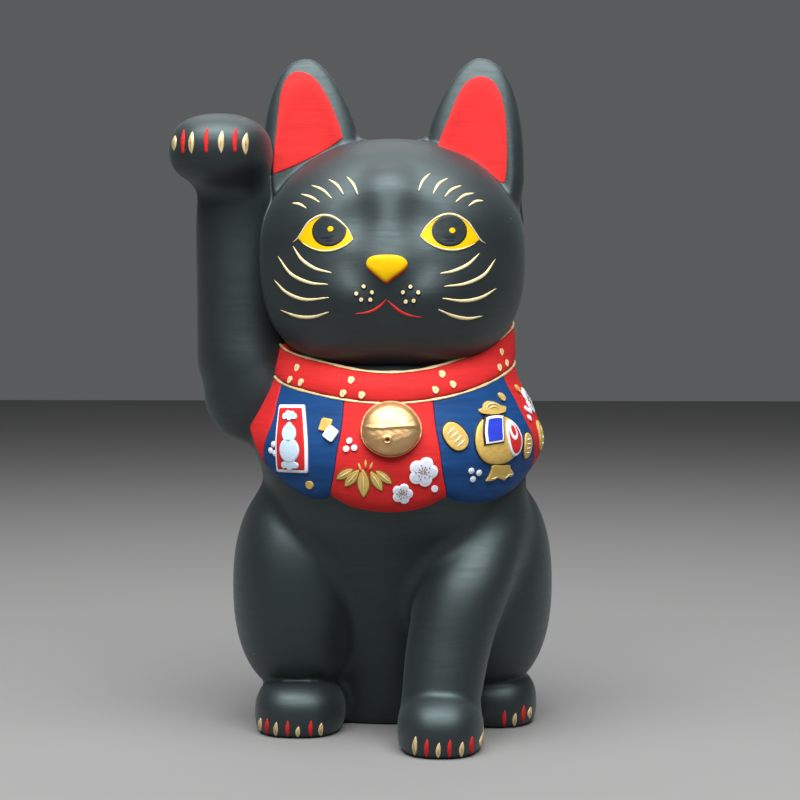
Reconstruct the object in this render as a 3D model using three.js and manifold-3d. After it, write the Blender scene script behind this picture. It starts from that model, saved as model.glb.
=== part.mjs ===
// A hollow pottery beckoning cat that is also a savings bank: cast body and head, luted-on limbs,
// a bib and collar in raised slip with applied ornaments, and a rubber stopper in the base.
// Millimetres, +Z up, the cat looks along -Y, the origin is on the surface it stands on.

import * as THREE from "three";
import { mergeVertices } from "three/addons/utils/BufferGeometryUtils.js";
import Module from "manifold-3d";

const wasm = await Module();
wasm.setup();

// ---- Driving dimensions ----

const WALL = 5.5; // cast wall
const GAP = 0.3; // clearance between luted pieces
const BIB_GAP = 0.6; // the same under a faceted panel that follows the rounded body
const ORNAMENT_GAP = 0.45; // and under a flat-backed ornament on the rounded bib
const BIB_THICKNESS = 4;
const BAND_THICKNESS = 3.5;
const ORNAMENT_LIFT = 1.3; // raised slip on the bib

const HEAD = { at: [0, -6, 211], radii: [60, 51, 53], power: 2.4 };
const JAW = { at: [0, -19, 192], radii: [43, 37, 31], power: 2.3 };
const EAR = { tip: 300, y: 2, thickness: 19, thinning: 0.55 };
const NECK_HOLE_RADIUS = 22;
const COIN_SLOT = { width: 36, height: 4.8, z: 128, depth: 40 };
const STOPPER = { headRadius: 16, plugRadius: 13, at: [0, 28], headHeight: 2.5, plugHeight: 11, recess: 1.2 };

const COLOURS = {
  black: 0x202426,
  red: 0xc8191c,
  blue: 0x17356f,
  gold: 0xb08d4a,
  ochre: 0xb98f35,
  white: 0xe6eaf2,
  paleBlue: 0xc3d9e6,
  yellow: 0xf0c400,
  rubber: 0x4a4a48,
};

// ---- Small tools ----

const radians = THREE.MathUtils.degToRad;

// A smooth curve through [position, value] pairs, as a function of the position.
function curveThrough(pairs) {
  const slope = (a, b) => (b[1] - a[1]) / (b[0] - a[0]);
  const tangents = pairs.map((pair, i) => {
    if (i === 0) return slope(pair, pairs[1]);
    if (i === pairs.length - 1) return slope(pairs[i - 1], pair);
    return slope(pairs[i - 1], pairs[i + 1]);
  });
  return (at) => {
    const last = pairs.length - 2;
    const i = Math.min(last, Math.max(0, pairs.findIndex((pair) => pair[0] > at) - 1));
    const [x0, y0] = pairs[at >= pairs[last + 1][0] ? last : i];
    const [x1, y1] = pairs[at >= pairs[last + 1][0] ? last + 1 : i + 1];
    const k = at >= pairs[last + 1][0] ? last : i;
    const t = THREE.MathUtils.clamp((at - x0) / (x1 - x0), 0, 1);
    const span = x1 - x0;
    const start = (1 + 2 * t) * (1 - t) ** 2 * y0 + t * (1 - t) ** 2 * span * tangents[k];
    const end = t * t * (3 - 2 * t) * y1 + t * t * (t - 1) * span * tangents[k + 1];
    return start + end;
  };
}

// Moves every vertex of a geometry to where the function sends it.
function reshaped(geometry, send) {
  const position = geometry.attributes.position;
  const point = new THREE.Vector3();
  for (let i = 0; i < position.count; i += 1) {
    point.fromBufferAttribute(position, i);
    const moved = send(point);
    position.setXYZ(i, moved.x, moved.y, moved.z);
  }
  return geometry;
}

// A closed geometry as a manifold-3d solid.
function solidOf(geometry) {
  const bare = geometry.clone();
  bare.deleteAttribute("normal");
  bare.deleteAttribute("uv");
  const merged = mergeVertices(bare, 1e-4);
  const triVerts = new Uint32Array(merged.index.array);
  const vertProperties = new Float32Array(merged.attributes.position.array);
  const solid = new wasm.Manifold(new wasm.Mesh({ numProp: 3, vertProperties, triVerts }));
  if (solid.volume() > 0) return solid;
  for (let i = 0; i < triVerts.length; i += 3) {
    [triVerts[i + 1], triVerts[i + 2]] = [triVerts[i + 2], triVerts[i + 1]];
  }
  return new wasm.Manifold(new wasm.Mesh({ numProp: 3, vertProperties, triVerts }));
}

function geometryOf(solid) {
  const { vertProperties, triVerts } = solid.getMesh();
  const geometry = new THREE.BufferGeometry();
  geometry.setAttribute("position", new THREE.BufferAttribute(new Float32Array(vertProperties), 3));
  geometry.setIndex(new THREE.BufferAttribute(new Uint32Array(triVerts), 1));
  geometry.computeVertexNormals();
  return geometry;
}

const union = (solids) => solids.reduce((all, solid) => all.add(solid));

// The biggest of a solid's separate bodies: a cut can leave slivers beside it.
function mainBody(solid) {
  const bodies = solid.decompose();
  return bodies.reduce((best, body) => (body.volume() > best.volume() ? body : best));
}

// A rounded lump: a sphere whose roundness follows |x|^power + |y|^power + |z|^power = 1.
function lump({ at, radii, power = 2 }, grow = 0, around = 20, up = 12) {
  const sphere = new THREE.SphereGeometry(1, around, up).rotateX(Math.PI / 2);
  const centre = new THREE.Vector3(...at);
  return solidOf(
    reshaped(sphere, (p) => {
      const sum = Math.abs(p.x) ** power + Math.abs(p.y) ** power + Math.abs(p.z) ** power;
      const out = sum ** (-1 / power);
      const local = new THREE.Vector3(
        p.x * out * (radii[0] + grow),
        p.y * out * (radii[1] + grow),
        p.z * out * (radii[2] + grow),
      );
      return local.add(centre);
    }),
  );
}

// A round limb along [x, y, z, radius] stations.
function limb(stations, grow = 0, around = 16, steps = 12) {
  const path = new THREE.CatmullRomCurve3(stations.map(([x, y, z]) => new THREE.Vector3(x, y, z)));
  const radiusAt = curveThrough(stations.map((station, i) => [i / (stations.length - 1), station[3]]));
  const tube = new THREE.CylinderGeometry(1, 1, 1, around, steps);
  const frames = path.computeFrenetFrames(steps, false);
  return solidOf(
    reshaped(tube, (p) => {
      const step = Math.round((p.y + 0.5) * steps);
      const radius = radiusAt(step / steps) + grow;
      return path
        .getPoint(step / steps)
        .addScaledVector(frames.normals[step], p.x * radius)
        .addScaledVector(frames.binormals[step], p.z * radius);
    }),
  );
}

function box(low, high) {
  const size = high.map((value, i) => value - low[i]);
  const middle = high.map((value, i) => (value + low[i]) / 2);
  return solidOf(new THREE.BoxGeometry(...size).translate(...middle));
}

function upright(radius, low, high, x = 0, y = 0, around = 28) {
  const post = new THREE.CylinderGeometry(radius, radius, high - low, around).rotateX(Math.PI / 2);
  return solidOf(post.translate(x, y, (low + high) / 2));
}

const aboveFloor = box([-120, -120, 0], [120, 120, 320]);

// ---- The body casting: an oval trunk whose width and depth change with height ----

const halfWidth = curveThrough([
  [0, 50], [30, 59], [65, 61], [95, 60], [112, 59], [130, 63], [145, 58], [158, 51.5], [172, 50], [186, 50],
]);
const frontReach = curveThrough([
  [0, 10], [25, 18], [60, 34], [80, 45], [97, 56], [118, 63], [130, 62], [147, 56], [160, 51], [169, 40],
  [186, 32],
]);
const backReach = curveThrough([
  [0, 62], [30, 73], [60, 75], [95, 69], [130, 59], [150, 52], [165, 47], [186, 42],
]);

// A point on the trunk: angle 0 is the front, 90 degrees the cat's left; lift is how far it stands out.
function trunkPoint(angle, z, lift = 0) {
  const halfDepth = (frontReach(z) + backReach(z)) / 2;
  const middle = (backReach(z) - frontReach(z)) / 2;
  return new THREE.Vector3(
    (halfWidth(z) + lift) * Math.sin(angle),
    middle - (halfDepth + lift) * Math.cos(angle),
    z,
  );
}

function trunk(low, high, lift = 0, around = 36, rings = 21) {
  const drum = new THREE.CylinderGeometry(1, 1, 1, around, rings);
  return solidOf(
    reshaped(drum, (p) => {
      const z = THREE.MathUtils.mapLinear(p.y, -0.5, 0.5, low, high);
      const edge = trunkPoint(Math.atan2(p.x, p.z), z, lift);
      const share = Math.hypot(p.x, p.z);
      return new THREE.Vector3(edge.x * share, edge.y * share, z);
    }),
  );
}

const HAUNCHES = {
  right: { at: [-42, 2, 63], radii: [30.5, 44, 50], power: 2.3 },
  left: { at: [42, 12, 63], radii: [30.5, 44, 50], power: 2.3 },
};
const TRUNK_TOP = 184;

const headSolid = (grow = 0) => union([lump(HEAD, grow, 32, 20), lump(JAW, grow, 28, 14)]);

const bodySolid = (grow = 0) =>
  union([
    trunk(0, TRUNK_TOP, grow),
    lump(HAUNCHES.right, grow),
    lump(HAUNCHES.left, grow),
  ]);

function bodyCasting() {
  const cavity = union([
    trunk(WALL, 149, -WALL, 20, 8),
    lump(HAUNCHES.right, -WALL, 12, 8).intersect(box([-90, -90, WALL], [0, 90, 149])),
    lump(HAUNCHES.left, -WALL, 12, 8).intersect(box([0, -90, WALL], [90, 90, 149])),
  ]);
  const slot = box(
    [-COIN_SLOT.width / 2, 30, COIN_SLOT.z - COIN_SLOT.height / 2],
    [COIN_SLOT.width / 2, 30 + COIN_SLOT.depth, COIN_SLOT.z + COIN_SLOT.height / 2],
  );
  const [x, y] = STOPPER.at;
  const stopperSeat = union([
    upright(STOPPER.plugRadius + GAP, -1, WALL + 1, x, y),
    upright(STOPPER.headRadius + GAP, -1, STOPPER.recess + STOPPER.headHeight + GAP, x, y),
  ]);
  const hollow = union([cavity, slot, stopperSeat, upright(NECK_HOLE_RADIUS, 140, 170)]);
  return mainBody(bodySolid().intersect(aboveFloor).subtract(headSolid(GAP)).subtract(hollow));
}

// ---- The head casting, its ears and its nose ----

function headCasting() {
  const cavity = lump(HEAD, -WALL, 18, 12);
  return mainBody(headSolid().subtract(cavity).subtract(upright(NECK_HOLE_RADIUS, 140, 175)));
}

// An ear's outline seen from the front, for the cat's left side.
function earOutline(inset = 0) {
  const outline = new THREE.Shape();
  const top = EAR.tip - inset;
  outline.moveTo(12 + inset, 246);
  outline.bezierCurveTo(17 + inset, 274, 26 + inset, top, 40, top);
  outline.bezierCurveTo(53 - inset, top, 59.5 - inset, 276, 58 - inset, 246);
  outline.quadraticCurveTo(57.5 - inset, 236, 55.5 - inset, 225 + inset);
  outline.lineTo(36, 225 + inset);
  outline.closePath();
  return outline;
}

function ear(side) {
  const bevel = 5;
  const slab = new THREE.ExtrudeGeometry(earOutline(bevel), {
    depth: EAR.thickness - 2 * bevel,
    bevelThickness: bevel,
    bevelSize: bevel,
    bevelSegments: 3,
    curveSegments: 9,
  });
  const cup = lump({ at: [side * 39, -12, 262], radii: [15.5, 12, 33], power: 2.2 }, 0, 16, 10);
  const standing = reshaped(slab.rotateX(Math.PI / 2).translate(0, (EAR.thickness - 2 * bevel) / 2, 0), (p) => {
    const thinning = 1.15 - EAR.thinning * THREE.MathUtils.smoothstep(p.z, 240, EAR.tip);
    return new THREE.Vector3(p.x, EAR.y + p.y * thinning, p.z);
  });
  if (side < 0) standing.scale(-1, 1, 1);
  return mainBody(solidOf(standing).subtract(cup).subtract(headSolid(GAP)).subtract(armSolid(GAP)));
}

// A flat shape made thick and rounded, standing out of the surface behind it.
function raised(shape, thickness, bevel = 0, curveSegments = 8) {
  return new THREE.ExtrudeGeometry(shape, {
    depth: thickness - 2 * bevel,
    bevelEnabled: bevel > 0,
    bevelThickness: bevel,
    bevelSize: bevel,
    bevelOffset: -bevel,
    bevelSegments: 2,
    curveSegments,
  });
}

function nose() {
  const outline = new THREE.Shape();
  outline.moveTo(0, -6);
  outline.bezierCurveTo(4, -5, 8.5, -1, 8.5, 2);
  outline.bezierCurveTo(8.5, 5, 5, 5.8, 0, 5.8);
  outline.bezierCurveTo(-5, 5.8, -8.5, 5, -8.5, 2);
  outline.bezierCurveTo(-8.5, -1, -4, -5, 0, -6);
  const button = raised(outline, 10, 2).rotateX(Math.PI / 2).translate(0, -53, 203.5);
  return mainBody(solidOf(button).subtract(headSolid(GAP)));
}

// ---- Limbs and tail ----

const SHOULDER = [[-34, 6, 142, 20], [-61.5, -3.2, 150.5, 23]];
const ELBOW = { at: [-61.5, -3.2, 150.5], radii: [23.2, 23.2, 23.2] };
const FOREARM = [
  [-62, -3.5, 152, 23], [-66, -5, 163, 21.8], [-68.5, -6, 178, 19.5], [-69.5, -6, 200, 18.6],
  [-70, -6, 222, 18.2], [-70, -8, 238, 17.2], [-71, -12, 250, 14.5],
];
const PAW = { at: [-75.5, -20, 257.6], radii: [22.5, 25, 16], power: 2.3 };
const LEG = [
  [40, -12, 118, 17], [39.5, -16, 103, 19], [38.5, -24, 88, 20.5], [33, -35, 68, 20.5], [26, -43, 43, 18.5],
  [22.5, -50, 20, 17],
];
const FRONT_FOOT = { at: [22.2, -54, 8.5], radii: [18.4, 26, 17], power: 2.4 };
const HIND_FEET = {
  right: { toes: { at: [-41, -17, 8.5], radii: [20, 25, 16], power: 2.5 }, heel: [-43, 24, 13, 14] },
  left: { toes: { at: [45.5, 7, 8.5], radii: [20, 25, 16], power: 2.5 }, heel: [43, 34, 13, 14] },
};
const TAIL = [[4, 66, 12, 8], [20, 70, 13, 9], [36, 63, 17, 9.4], [46, 54, 29, 9], [43, 53, 44, 8]];

const armSolid = (grow = 0) =>
  union([limb(SHOULDER, grow, 16, 2), lump(ELBOW, grow, 16, 12), limb(FOREARM, grow), lump(PAW, grow)]);
const forelegSolid = (grow = 0) => union([limb(LEG, grow, 16, 8), lump(FRONT_FOOT, grow)]);

function raisedArm() {
  const hollow = limb(FOREARM.map(([x, y, z, radius]) => [x, y, z, radius - WALL]), 0, 10, 8);
  return mainBody(armSolid().subtract(hollow).subtract(bodySolid(GAP)).subtract(headSolid(GAP)));
}

function foreleg() {
  const hollow = limb(LEG.map(([x, y, z, radius]) => [x, y + 4, z + 12, radius - WALL]), 0, 10, 6);
  return mainBody(forelegSolid().intersect(aboveFloor).subtract(hollow).subtract(bodySolid(GAP)));
}

// Toes, and the sole running back from them to the heel.
function hindFoot(side) {
  const { toes, heel } = HIND_FEET[side];
  const sole = limb([[...toes.at, 13], heel], 0, 12, 1);
  const foot = union([lump(toes), sole, lump({ at: heel.slice(0, 3), radii: [14, 14, 14] }, 0, 12, 8)]);
  return mainBody(foot.intersect(aboveFloor).subtract(bodySolid(GAP)).subtract(forelegSolid(GAP)));
}

const tail = () =>
  mainBody(union([limb(TAIL, 0, 12, 10), lump({ at: TAIL[4].slice(0, 3), radii: [8, 8, 8] }, 0, 12, 8)])
    .intersect(aboveFloor)
    .subtract(bodySolid(GAP)));

// ---- The collar band and the bib, laid on the trunk ----

// The band's upper and lower edges rise from the throat to the nape.
const bandTop = (angle) => 160 + 28 * (1 - Math.exp(-1.25 * (1 - Math.cos(angle))));
const bandBottom = (angle) => 147 + 0.8 * (bandTop(angle) - 160);

// A slab bent onto the trunk, between two angles and two height curves.
function slabOnTrunk(from, to, lowAt, highAt, thickness, across = 8, up = 7) {
  const slab = new THREE.BoxGeometry(1, 1, 1, across, up, 1);
  return solidOf(
    reshaped(slab, (p) => {
      const angle = radians(THREE.MathUtils.mapLinear(p.x, -0.5, 0.5, from, to));
      const z = THREE.MathUtils.mapLinear(p.y, -0.5, 0.5, lowAt(angle), highAt(angle));
      return trunkPoint(angle, z, p.z > 0 ? thickness : BIB_GAP);
    }),
  );
}

// The band is a closed ring: a turned square section, bent onto the trunk.
function collarBand() {
  const rise = [0, 0.33, 0.67, 1];
  const outer = rise.map((z) => new THREE.Vector2(2, z));
  const inner = rise.map((z) => new THREE.Vector2(1, z)).reverse();
  const section = [inner[rise.length - 1], ...outer, ...inner];
  const ring = reshaped(new THREE.LatheGeometry(section, 40), (p) => {
    const angle = Math.atan2(p.x, p.z);
    const z = THREE.MathUtils.lerp(bandBottom(angle), bandTop(angle), p.y);
    return trunkPoint(angle, z, Math.hypot(p.x, p.z) > 1.5 ? BAND_THICKNESS : BIB_GAP);
  });
  return mainBody(solidOf(ring).subtract(headSolid(GAP)).subtract(armSolid(GAP)));
}

// Each bib panel hangs from the band to a scalloped lower edge.
const PANELS = {
  bib_centre_panel: { from: -21, to: 21, lowest: 101.5, rise: 6.5, colour: "red" },
  bib_right_blue_panel: { from: -57, to: -21.3, lowest: 104.5, rise: 14, colour: "blue" },
  bib_left_blue_panel: { from: 21.3, to: 67, lowest: 104.5, rise: 14, colour: "blue" },
  bib_right_side_panel: { from: -118, to: -57.3, lowest: 117, rise: 26, colour: "red" },
  bib_left_side_panel: { from: 67.3, to: 118, lowest: 117, rise: 26, colour: "red" },
};

// The scallop is an arc, lowest at the panel's middle; a side panel is lowest at its front edge.
function panelLowEdge({ from, to, lowest, rise }) {
  const isSide = Math.max(Math.abs(from), Math.abs(to)) > 90;
  const front = Math.abs(from) < Math.abs(to) ? from : to;
  return (angle) => {
    const degrees = THREE.MathUtils.radToDeg(angle);
    const away = isSide
      ? Math.abs((degrees - front) / (to - from))
      : Math.abs((degrees - (from + to) / 2) / ((to - from) / 2));
    return lowest + rise * away ** 2.4;
  };
}

function bibPanel(name) {
  const panel = PANELS[name];
  const high = (angle) => bandBottom(angle) - GAP;
  const slab = slabOnTrunk(panel.from, panel.to, panelLowEdge(panel), high, BIB_THICKNESS);
  return mainBody(panel.from < 0 ? slab.subtract(armSolid(GAP)) : slab);
}

// ---- Bell, bow and the ornaments in raised slip ----

const bibSurface = (grow = 0) => trunk(90, 160, BIB_THICKNESS + grow, 48, 14);

function bell() {
  const dome = lump({ at: [1, -65.5, 137.3], radii: [12.6, 8, 11.8], power: 2.2 });
  const mouth = upright(1.1, 60, 90, 0, 0, 10).rotate([90, 0, 0]).translate([-0.5, 0, 133]);
  return mainBody(dome.subtract(mouth).subtract(bibSurface(GAP)));
}

// Bends a raised shape, drawn about its own middle and standing along +Z, onto the bib.
function laidOnBib(geometry, degrees, height, turn = 0) {
  const middle = trunkPoint(radians(degrees), height, BIB_THICKNESS);
  const radius = Math.hypot(middle.x, middle.y);
  const base = BIB_THICKNESS + ORNAMENT_GAP;
  return solidOf(
    reshaped(geometry.rotateZ(radians(turn)), (p) =>
      trunkPoint(radians(degrees) + p.x / radius, height + p.y, base + p.z),
    ),
  );
}

const slip = (shape, curveSegments = 6) => raised(shape, ORNAMENT_LIFT, 0, curveSegments);

function disc(rx, ry = rx) {
  const shape = new THREE.Shape();
  shape.absellipse(0, 0, rx, ry, 0, 2 * Math.PI);
  return shape;
}

// A flat tile with enough facets to bend.
const tile = (width, height, across = 1, up = 1) =>
  new THREE.BoxGeometry(width, height, ORNAMENT_LIFT, across, up).translate(0, 0, ORNAMENT_LIFT / 2);

// The round barrel of a lucky mallet: a shallow dome.
function barrel(radius, height) {
  const rings = [[0, 0], [0.5, 0], [1, 0], [1, 0.4], [0.85, 0.75], [0.5, 1], [0, 1.05]];
  const profile = rings.map(([r, z]) => new THREE.Vector2(r * radius, z * height));
  return new THREE.LatheGeometry(profile, 24).rotateX(Math.PI / 2);
}

// Five round petals: the radius swells between the notches.
function blossom(radius) {
  const points = Array.from({ length: 30 }, (_, i) => {
    const angle = (i / 30) * 2 * Math.PI;
    const reach = radius * (0.72 + 0.28 * Math.abs(Math.cos(2.5 * angle)) ** 0.7);
    return new THREE.Vector2(reach * Math.cos(angle), reach * Math.sin(angle));
  });
  return new THREE.Shape(points);
}

function leaf(length, width) {
  const shape = new THREE.Shape();
  shape.moveTo(0, 0);
  shape.bezierCurveTo(width * 0.7, -length * 0.25, width * 0.6, -length * 0.7, 0, -length);
  shape.bezierCurveTo(-width * 0.6, -length * 0.7, -width * 0.7, -length * 0.25, 0, 0);
  return shape;
}

function tassel() {
  const shape = new THREE.Shape();
  shape.moveTo(-3.4, 3);
  shape.lineTo(3.4, 3);
  shape.lineTo(5.6, -3);
  shape.quadraticCurveTo(0, -5.4, -5.6, -3);
  return shape.closePath();
}

function knotCloth() {
  const shape = new THREE.Shape();
  shape.moveTo(-3.4, -2.8);
  shape.lineTo(3.4, -2.8);
  shape.quadraticCurveTo(6.2, -0.6, 5, 0.6);
  shape.quadraticCurveTo(2.8, 1, 2.4, 2.2);
  shape.quadraticCurveTo(0, 3.6, -2.4, 2.2);
  shape.quadraticCurveTo(-2.8, 1, -5, 0.6);
  shape.quadraticCurveTo(-6.2, -0.6, -3.4, -2.8);
  return shape;
}

// name: [geometry, degrees round the trunk, height, turn, colour]
const ORNAMENTS = {
  plaque: [tile(17.6, 28, 4, 6), -38.4, 132.2, 0, "white"],
  gold_chip: [tile(4.6, 4.6), -26.4, 140.4, -8, "ochre"],
  white_chip: [tile(4.6, 4.6), -23.6, 134, -32, "paleBlue"],
  gold_bead_right: [slip(disc(1.8), 4), -31.6, 112.9, 0, "ochre"],
  gold_bead_left: [slip(disc(1.6, 2), 4), 53.3, 149.6, 0, "ochre"],
  bamboo_middle_leaf: [slip(leaf(11.4, 5)), -9.1, 120.2, 0, "ochre"],
  bamboo_right_inner_leaf: [slip(leaf(9.4, 3.8)), -11.6, 119.4, -44, "ochre"],
  bamboo_right_outer_leaf: [slip(leaf(7.6, 3.2)), -13.9, 120.4, -62, "ochre"],
  bamboo_left_inner_leaf: [slip(leaf(9.2, 3.6)), -6.5, 119.4, 34, "ochre"],
  bamboo_left_outer_leaf: [slip(leaf(7.6, 3)), -4.3, 120.6, 54, "ochre"],
  plum_blossom_large: [slip(blossom(6.3)), 13.2, 119.2, 73, "white"],
  plum_blossom_small: [slip(blossom(4.3)), 5.5, 110, 73, "white"],
  white_bead: [slip(disc(1.5), 4), 18, 112, 0, "white"],
  gold_coin: [slip(disc(6.2, 4.8)), 27.3, 134, -51, "ochre"],
  mallet_barrel: [barrel(9.8, 2.4), 44.3, 131.6, 0, "ochre"],
  mallet_knot: [slip(knotCloth()), 44.6, 145.9, 0, "gold"],
  mallet_tassel: [slip(tassel()), 46.2, 117, 0, "ochre"],
  side_gold_coin: [slip(disc(3.4, 5.4)), 62.3, 128.2, 4, "ochre"],
};

const ornament = (name) => laidOnBib(...ORNAMENTS[name].slice(0, 4));

// The bow at the nape: a knot, two loops and two hanging ends.
const bandSurface = () => trunk(90, TRUNK_TOP, BAND_THICKNESS + GAP, 36, 12);
const NAPE = { y: 53.5, z: 172 };
const knotSolid = (grow = 0) => lump({ at: [0, NAPE.y, NAPE.z], radii: [7, 7, 7.5], power: 2.4 }, grow, 12, 8);

function bowLoop(side) {
  const loop = lump({ at: [side * 15, NAPE.y - 2.5, NAPE.z + 1], radii: [13, 7, 9], power: 2.3 }, 0, 16, 10);
  return mainBody(loop.subtract(bandSurface()).subtract(knotSolid(GAP)).subtract(headSolid(GAP)));
}

function bowEnd(side) {
  const end = slabOnTrunk(180 - side * 17, 180 - side * 5, () => 142, () => 163, 5, 3, 6);
  return mainBody(end.subtract(bandSurface().intersect(box([-60, 0, 160], [60, 90, 190]))).subtract(knotSolid(GAP)));
}

// ---- The rubber stopper: a plug with a flange, sunk a little into the base ----

function stopper() {
  const { headRadius, plugRadius, headHeight, plugHeight, recess } = STOPPER;
  const profile = [
    [0, 0], [headRadius - 1, 0], [headRadius, 0.8], [headRadius, headHeight],
    [plugRadius, headHeight], [plugRadius, plugHeight - 2], [plugRadius - 1.6, plugHeight], [0, plugHeight],
  ].map(([r, z]) => new THREE.Vector2(r, z));
  return new THREE.LatheGeometry(profile, 28).rotateX(Math.PI / 2).translate(0, 0, recess);
}

// ---- Assembly ----

const finishes = {
  gold: { roughness: 0.35, metalness: 0.8 },
  rubber: { roughness: 0.8, metalness: 0 },
};

function piece(name, shape, colour) {
  const geometry = shape.isBufferGeometry ? shape : geometryOf(shape);
  const look = finishes[colour] ?? { roughness: 0.6, metalness: 0 };
  const mesh = new THREE.Mesh(geometry, new THREE.MeshStandardMaterial({ color: COLOURS[colour], ...look }));
  mesh.name = name;
  return mesh;
}

const cat = new THREE.Group();

const casting = new THREE.Group();
casting.add(
  piece("body_casting", bodyCasting(), "black"),
  piece("head_casting", headCasting(), "black"),
  piece("right_ear", ear(-1), "black"),
  piece("left_ear", ear(1), "black"),
  piece("nose", nose(), "yellow"),
  piece("raised_arm", raisedArm(), "black"),
  piece("standing_foreleg", foreleg(), "black"),
  piece("right_hind_foot", hindFoot("right"), "black"),
  piece("left_hind_foot", hindFoot("left"), "black"),
  piece("tail", tail(), "black"),
);

const bib = new THREE.Group();
bib.add(piece("collar_band", collarBand(), "red"), piece("bell", bell(), "gold"));
for (const [name, { colour }] of Object.entries(PANELS)) bib.add(piece(name, bibPanel(name), colour));
for (const [name, [, , , , colour]] of Object.entries(ORNAMENTS)) bib.add(piece(name, ornament(name), colour));
bib.add(piece("bow_knot", mainBody(knotSolid().subtract(bandSurface()).subtract(headSolid(GAP))), "red"));
for (const [word, side] of [["right", -1], ["left", 1]]) {
  bib.add(piece(`bow_${word}_loop`, bowLoop(side), "red"), piece(`bow_${word}_end`, bowEnd(side), "red"));
}

const stopperMesh = piece("base_stopper", stopper(), "rubber");
stopperMesh.position.set(...STOPPER.at, 0);

cat.add(casting, bib, stopperMesh);

export default cat;
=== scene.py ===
"""The beckoning cat's looks: modelled clay, brushed paint and slip ornaments around its fixed frame.

Lengths are millimetres up to the moment a mesh is made. +Z is up, the cat looks along -Y, +X is its left.
"""

import math

import bpy
import numpy as np
from bpy.props import FloatProperty, FloatVectorProperty, PointerProperty
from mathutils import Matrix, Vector


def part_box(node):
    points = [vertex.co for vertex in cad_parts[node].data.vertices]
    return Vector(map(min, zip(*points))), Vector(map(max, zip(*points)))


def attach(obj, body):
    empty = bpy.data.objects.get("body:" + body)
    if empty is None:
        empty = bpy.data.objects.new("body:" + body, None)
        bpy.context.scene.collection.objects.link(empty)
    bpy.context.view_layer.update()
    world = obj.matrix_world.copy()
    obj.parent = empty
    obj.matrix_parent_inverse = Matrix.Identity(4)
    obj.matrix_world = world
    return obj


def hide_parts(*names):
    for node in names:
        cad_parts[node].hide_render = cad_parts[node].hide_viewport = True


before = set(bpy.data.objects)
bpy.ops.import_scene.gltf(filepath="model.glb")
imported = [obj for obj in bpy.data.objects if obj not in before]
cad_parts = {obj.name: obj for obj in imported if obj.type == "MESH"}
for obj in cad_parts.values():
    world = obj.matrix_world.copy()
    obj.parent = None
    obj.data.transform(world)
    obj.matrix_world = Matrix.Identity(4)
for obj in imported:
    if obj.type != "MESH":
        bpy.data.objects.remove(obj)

bl_info = {
    "name": "Beckoning Cat Looks",
    "version": (1, 0, 0),
    "blender": (4, 5, 0),
    "location": "3D Viewport > Sidebar > Cat",
    "description": "Builds the visible surfaces of a pottery beckoning cat around its frame",
    "category": "Object",
}

MM = 0.001
bpy.context.view_layer.update()


# ---- Sizes that the frame gives ----


def box(node):
    """A node's lowest and highest corners, in millimetres."""
    return np.array([list(corner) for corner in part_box(node)]) / MM


def middle_and_reach(node):
    """A node's centre and half its size along X, Y and Z."""
    low, high = box(node)
    return (low + high) / 2, (high - low) / 2


EAR_TIP = box("left_ear")[1, 2]


# ---- Curves and fields, all worked out on whole arrays ----


def through(*pairs):
    """A smooth curve through (position, value) pairs: between two pairs it is the cubic whose slopes
    there are those of the chord from the pair before to the pair after."""
    at, value = np.array(pairs, float).T
    ahead = np.minimum(np.arange(len(at)) + 1, len(at) - 1)
    behind = np.maximum(np.arange(len(at)) - 1, 0)
    slope = (value[ahead] - value[behind]) / (at[ahead] - at[behind])

    def curve(x):
        x = np.clip(x, at[0], at[-1])
        i = np.clip(np.searchsorted(at, x, side="right") - 1, 0, len(at) - 2)
        span = at[i + 1] - at[i]
        t = (x - at[i]) / span
        start = (1 + 2 * t) * (1 - t) ** 2 * value[i] + t * (1 - t) ** 2 * span * slope[i]
        end = t * t * (3 - 2 * t) * value[i + 1] + t * t * (t - 1) * span * slope[i + 1]
        return start + end

    return curve


def meet(a, b, width):
    """The lower of two fields, rounded where they cross: min(a, b) less width h (1 - h), with h
    running from 0 to 1 as b - a goes from -width to width."""
    h = np.clip(0.5 + 0.5 * (b - a) / width, 0, 1)
    return b + (a - b) * h - width * h * (1 - h)


def carve(a, b, width):
    """Field a with the inside of b cut away, rounded at the cut."""
    return -meet(-a, b, width)


def lump(x, y, z, at, radii, power=2.0):
    """Distance to the rounded box |x/a|^p + |y/b|^p + |z/c|^p = 1, to first order: with g the p-th
    root of the sum, it is g - 1 over the length of g's slope."""
    q = [np.abs(v - c) / r + 1e-5 for v, c, r in zip((x, y, z), at, radii)]
    total = q[0] ** power + q[1] ** power + q[2] ** power
    g = total ** (1 / power)
    steep = sum((qi ** (power - 1) / r) ** 2 for qi, r in zip(q, radii))
    return (g - 1) / (np.sqrt(steep) * g ** (1 - power))


def limb(x, y, z, stations, steps=14):
    """Distance to a row of tapered capsules along a smooth path through (x, y, z, radius) stations:
    to each, the distance to its axis less the radius there."""
    stations = np.array(stations, float)
    at = np.linspace(0, len(stations) - 1, steps + 1)
    path = np.stack([through(*enumerate(column))(at) for column in stations.T], axis=1)
    nearest = None
    for a, b in zip(path[:-1], path[1:]):
        along = b[:3] - a[:3]
        t = (x - a[0]) * along[0] + (y - a[1]) * along[1] + (z - a[2]) * along[2]
        t = np.clip(t / (along @ along), 0, 1)
        gap = (x - a[0] - t * along[0]) ** 2 + (y - a[1] - t * along[1]) ** 2
        away = np.sqrt(gap + (z - a[2] - t * along[2]) ** 2) - (a[3] + t * (b[3] - a[3]))
        nearest = away if nearest is None else np.minimum(nearest, away)
    return nearest


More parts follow.
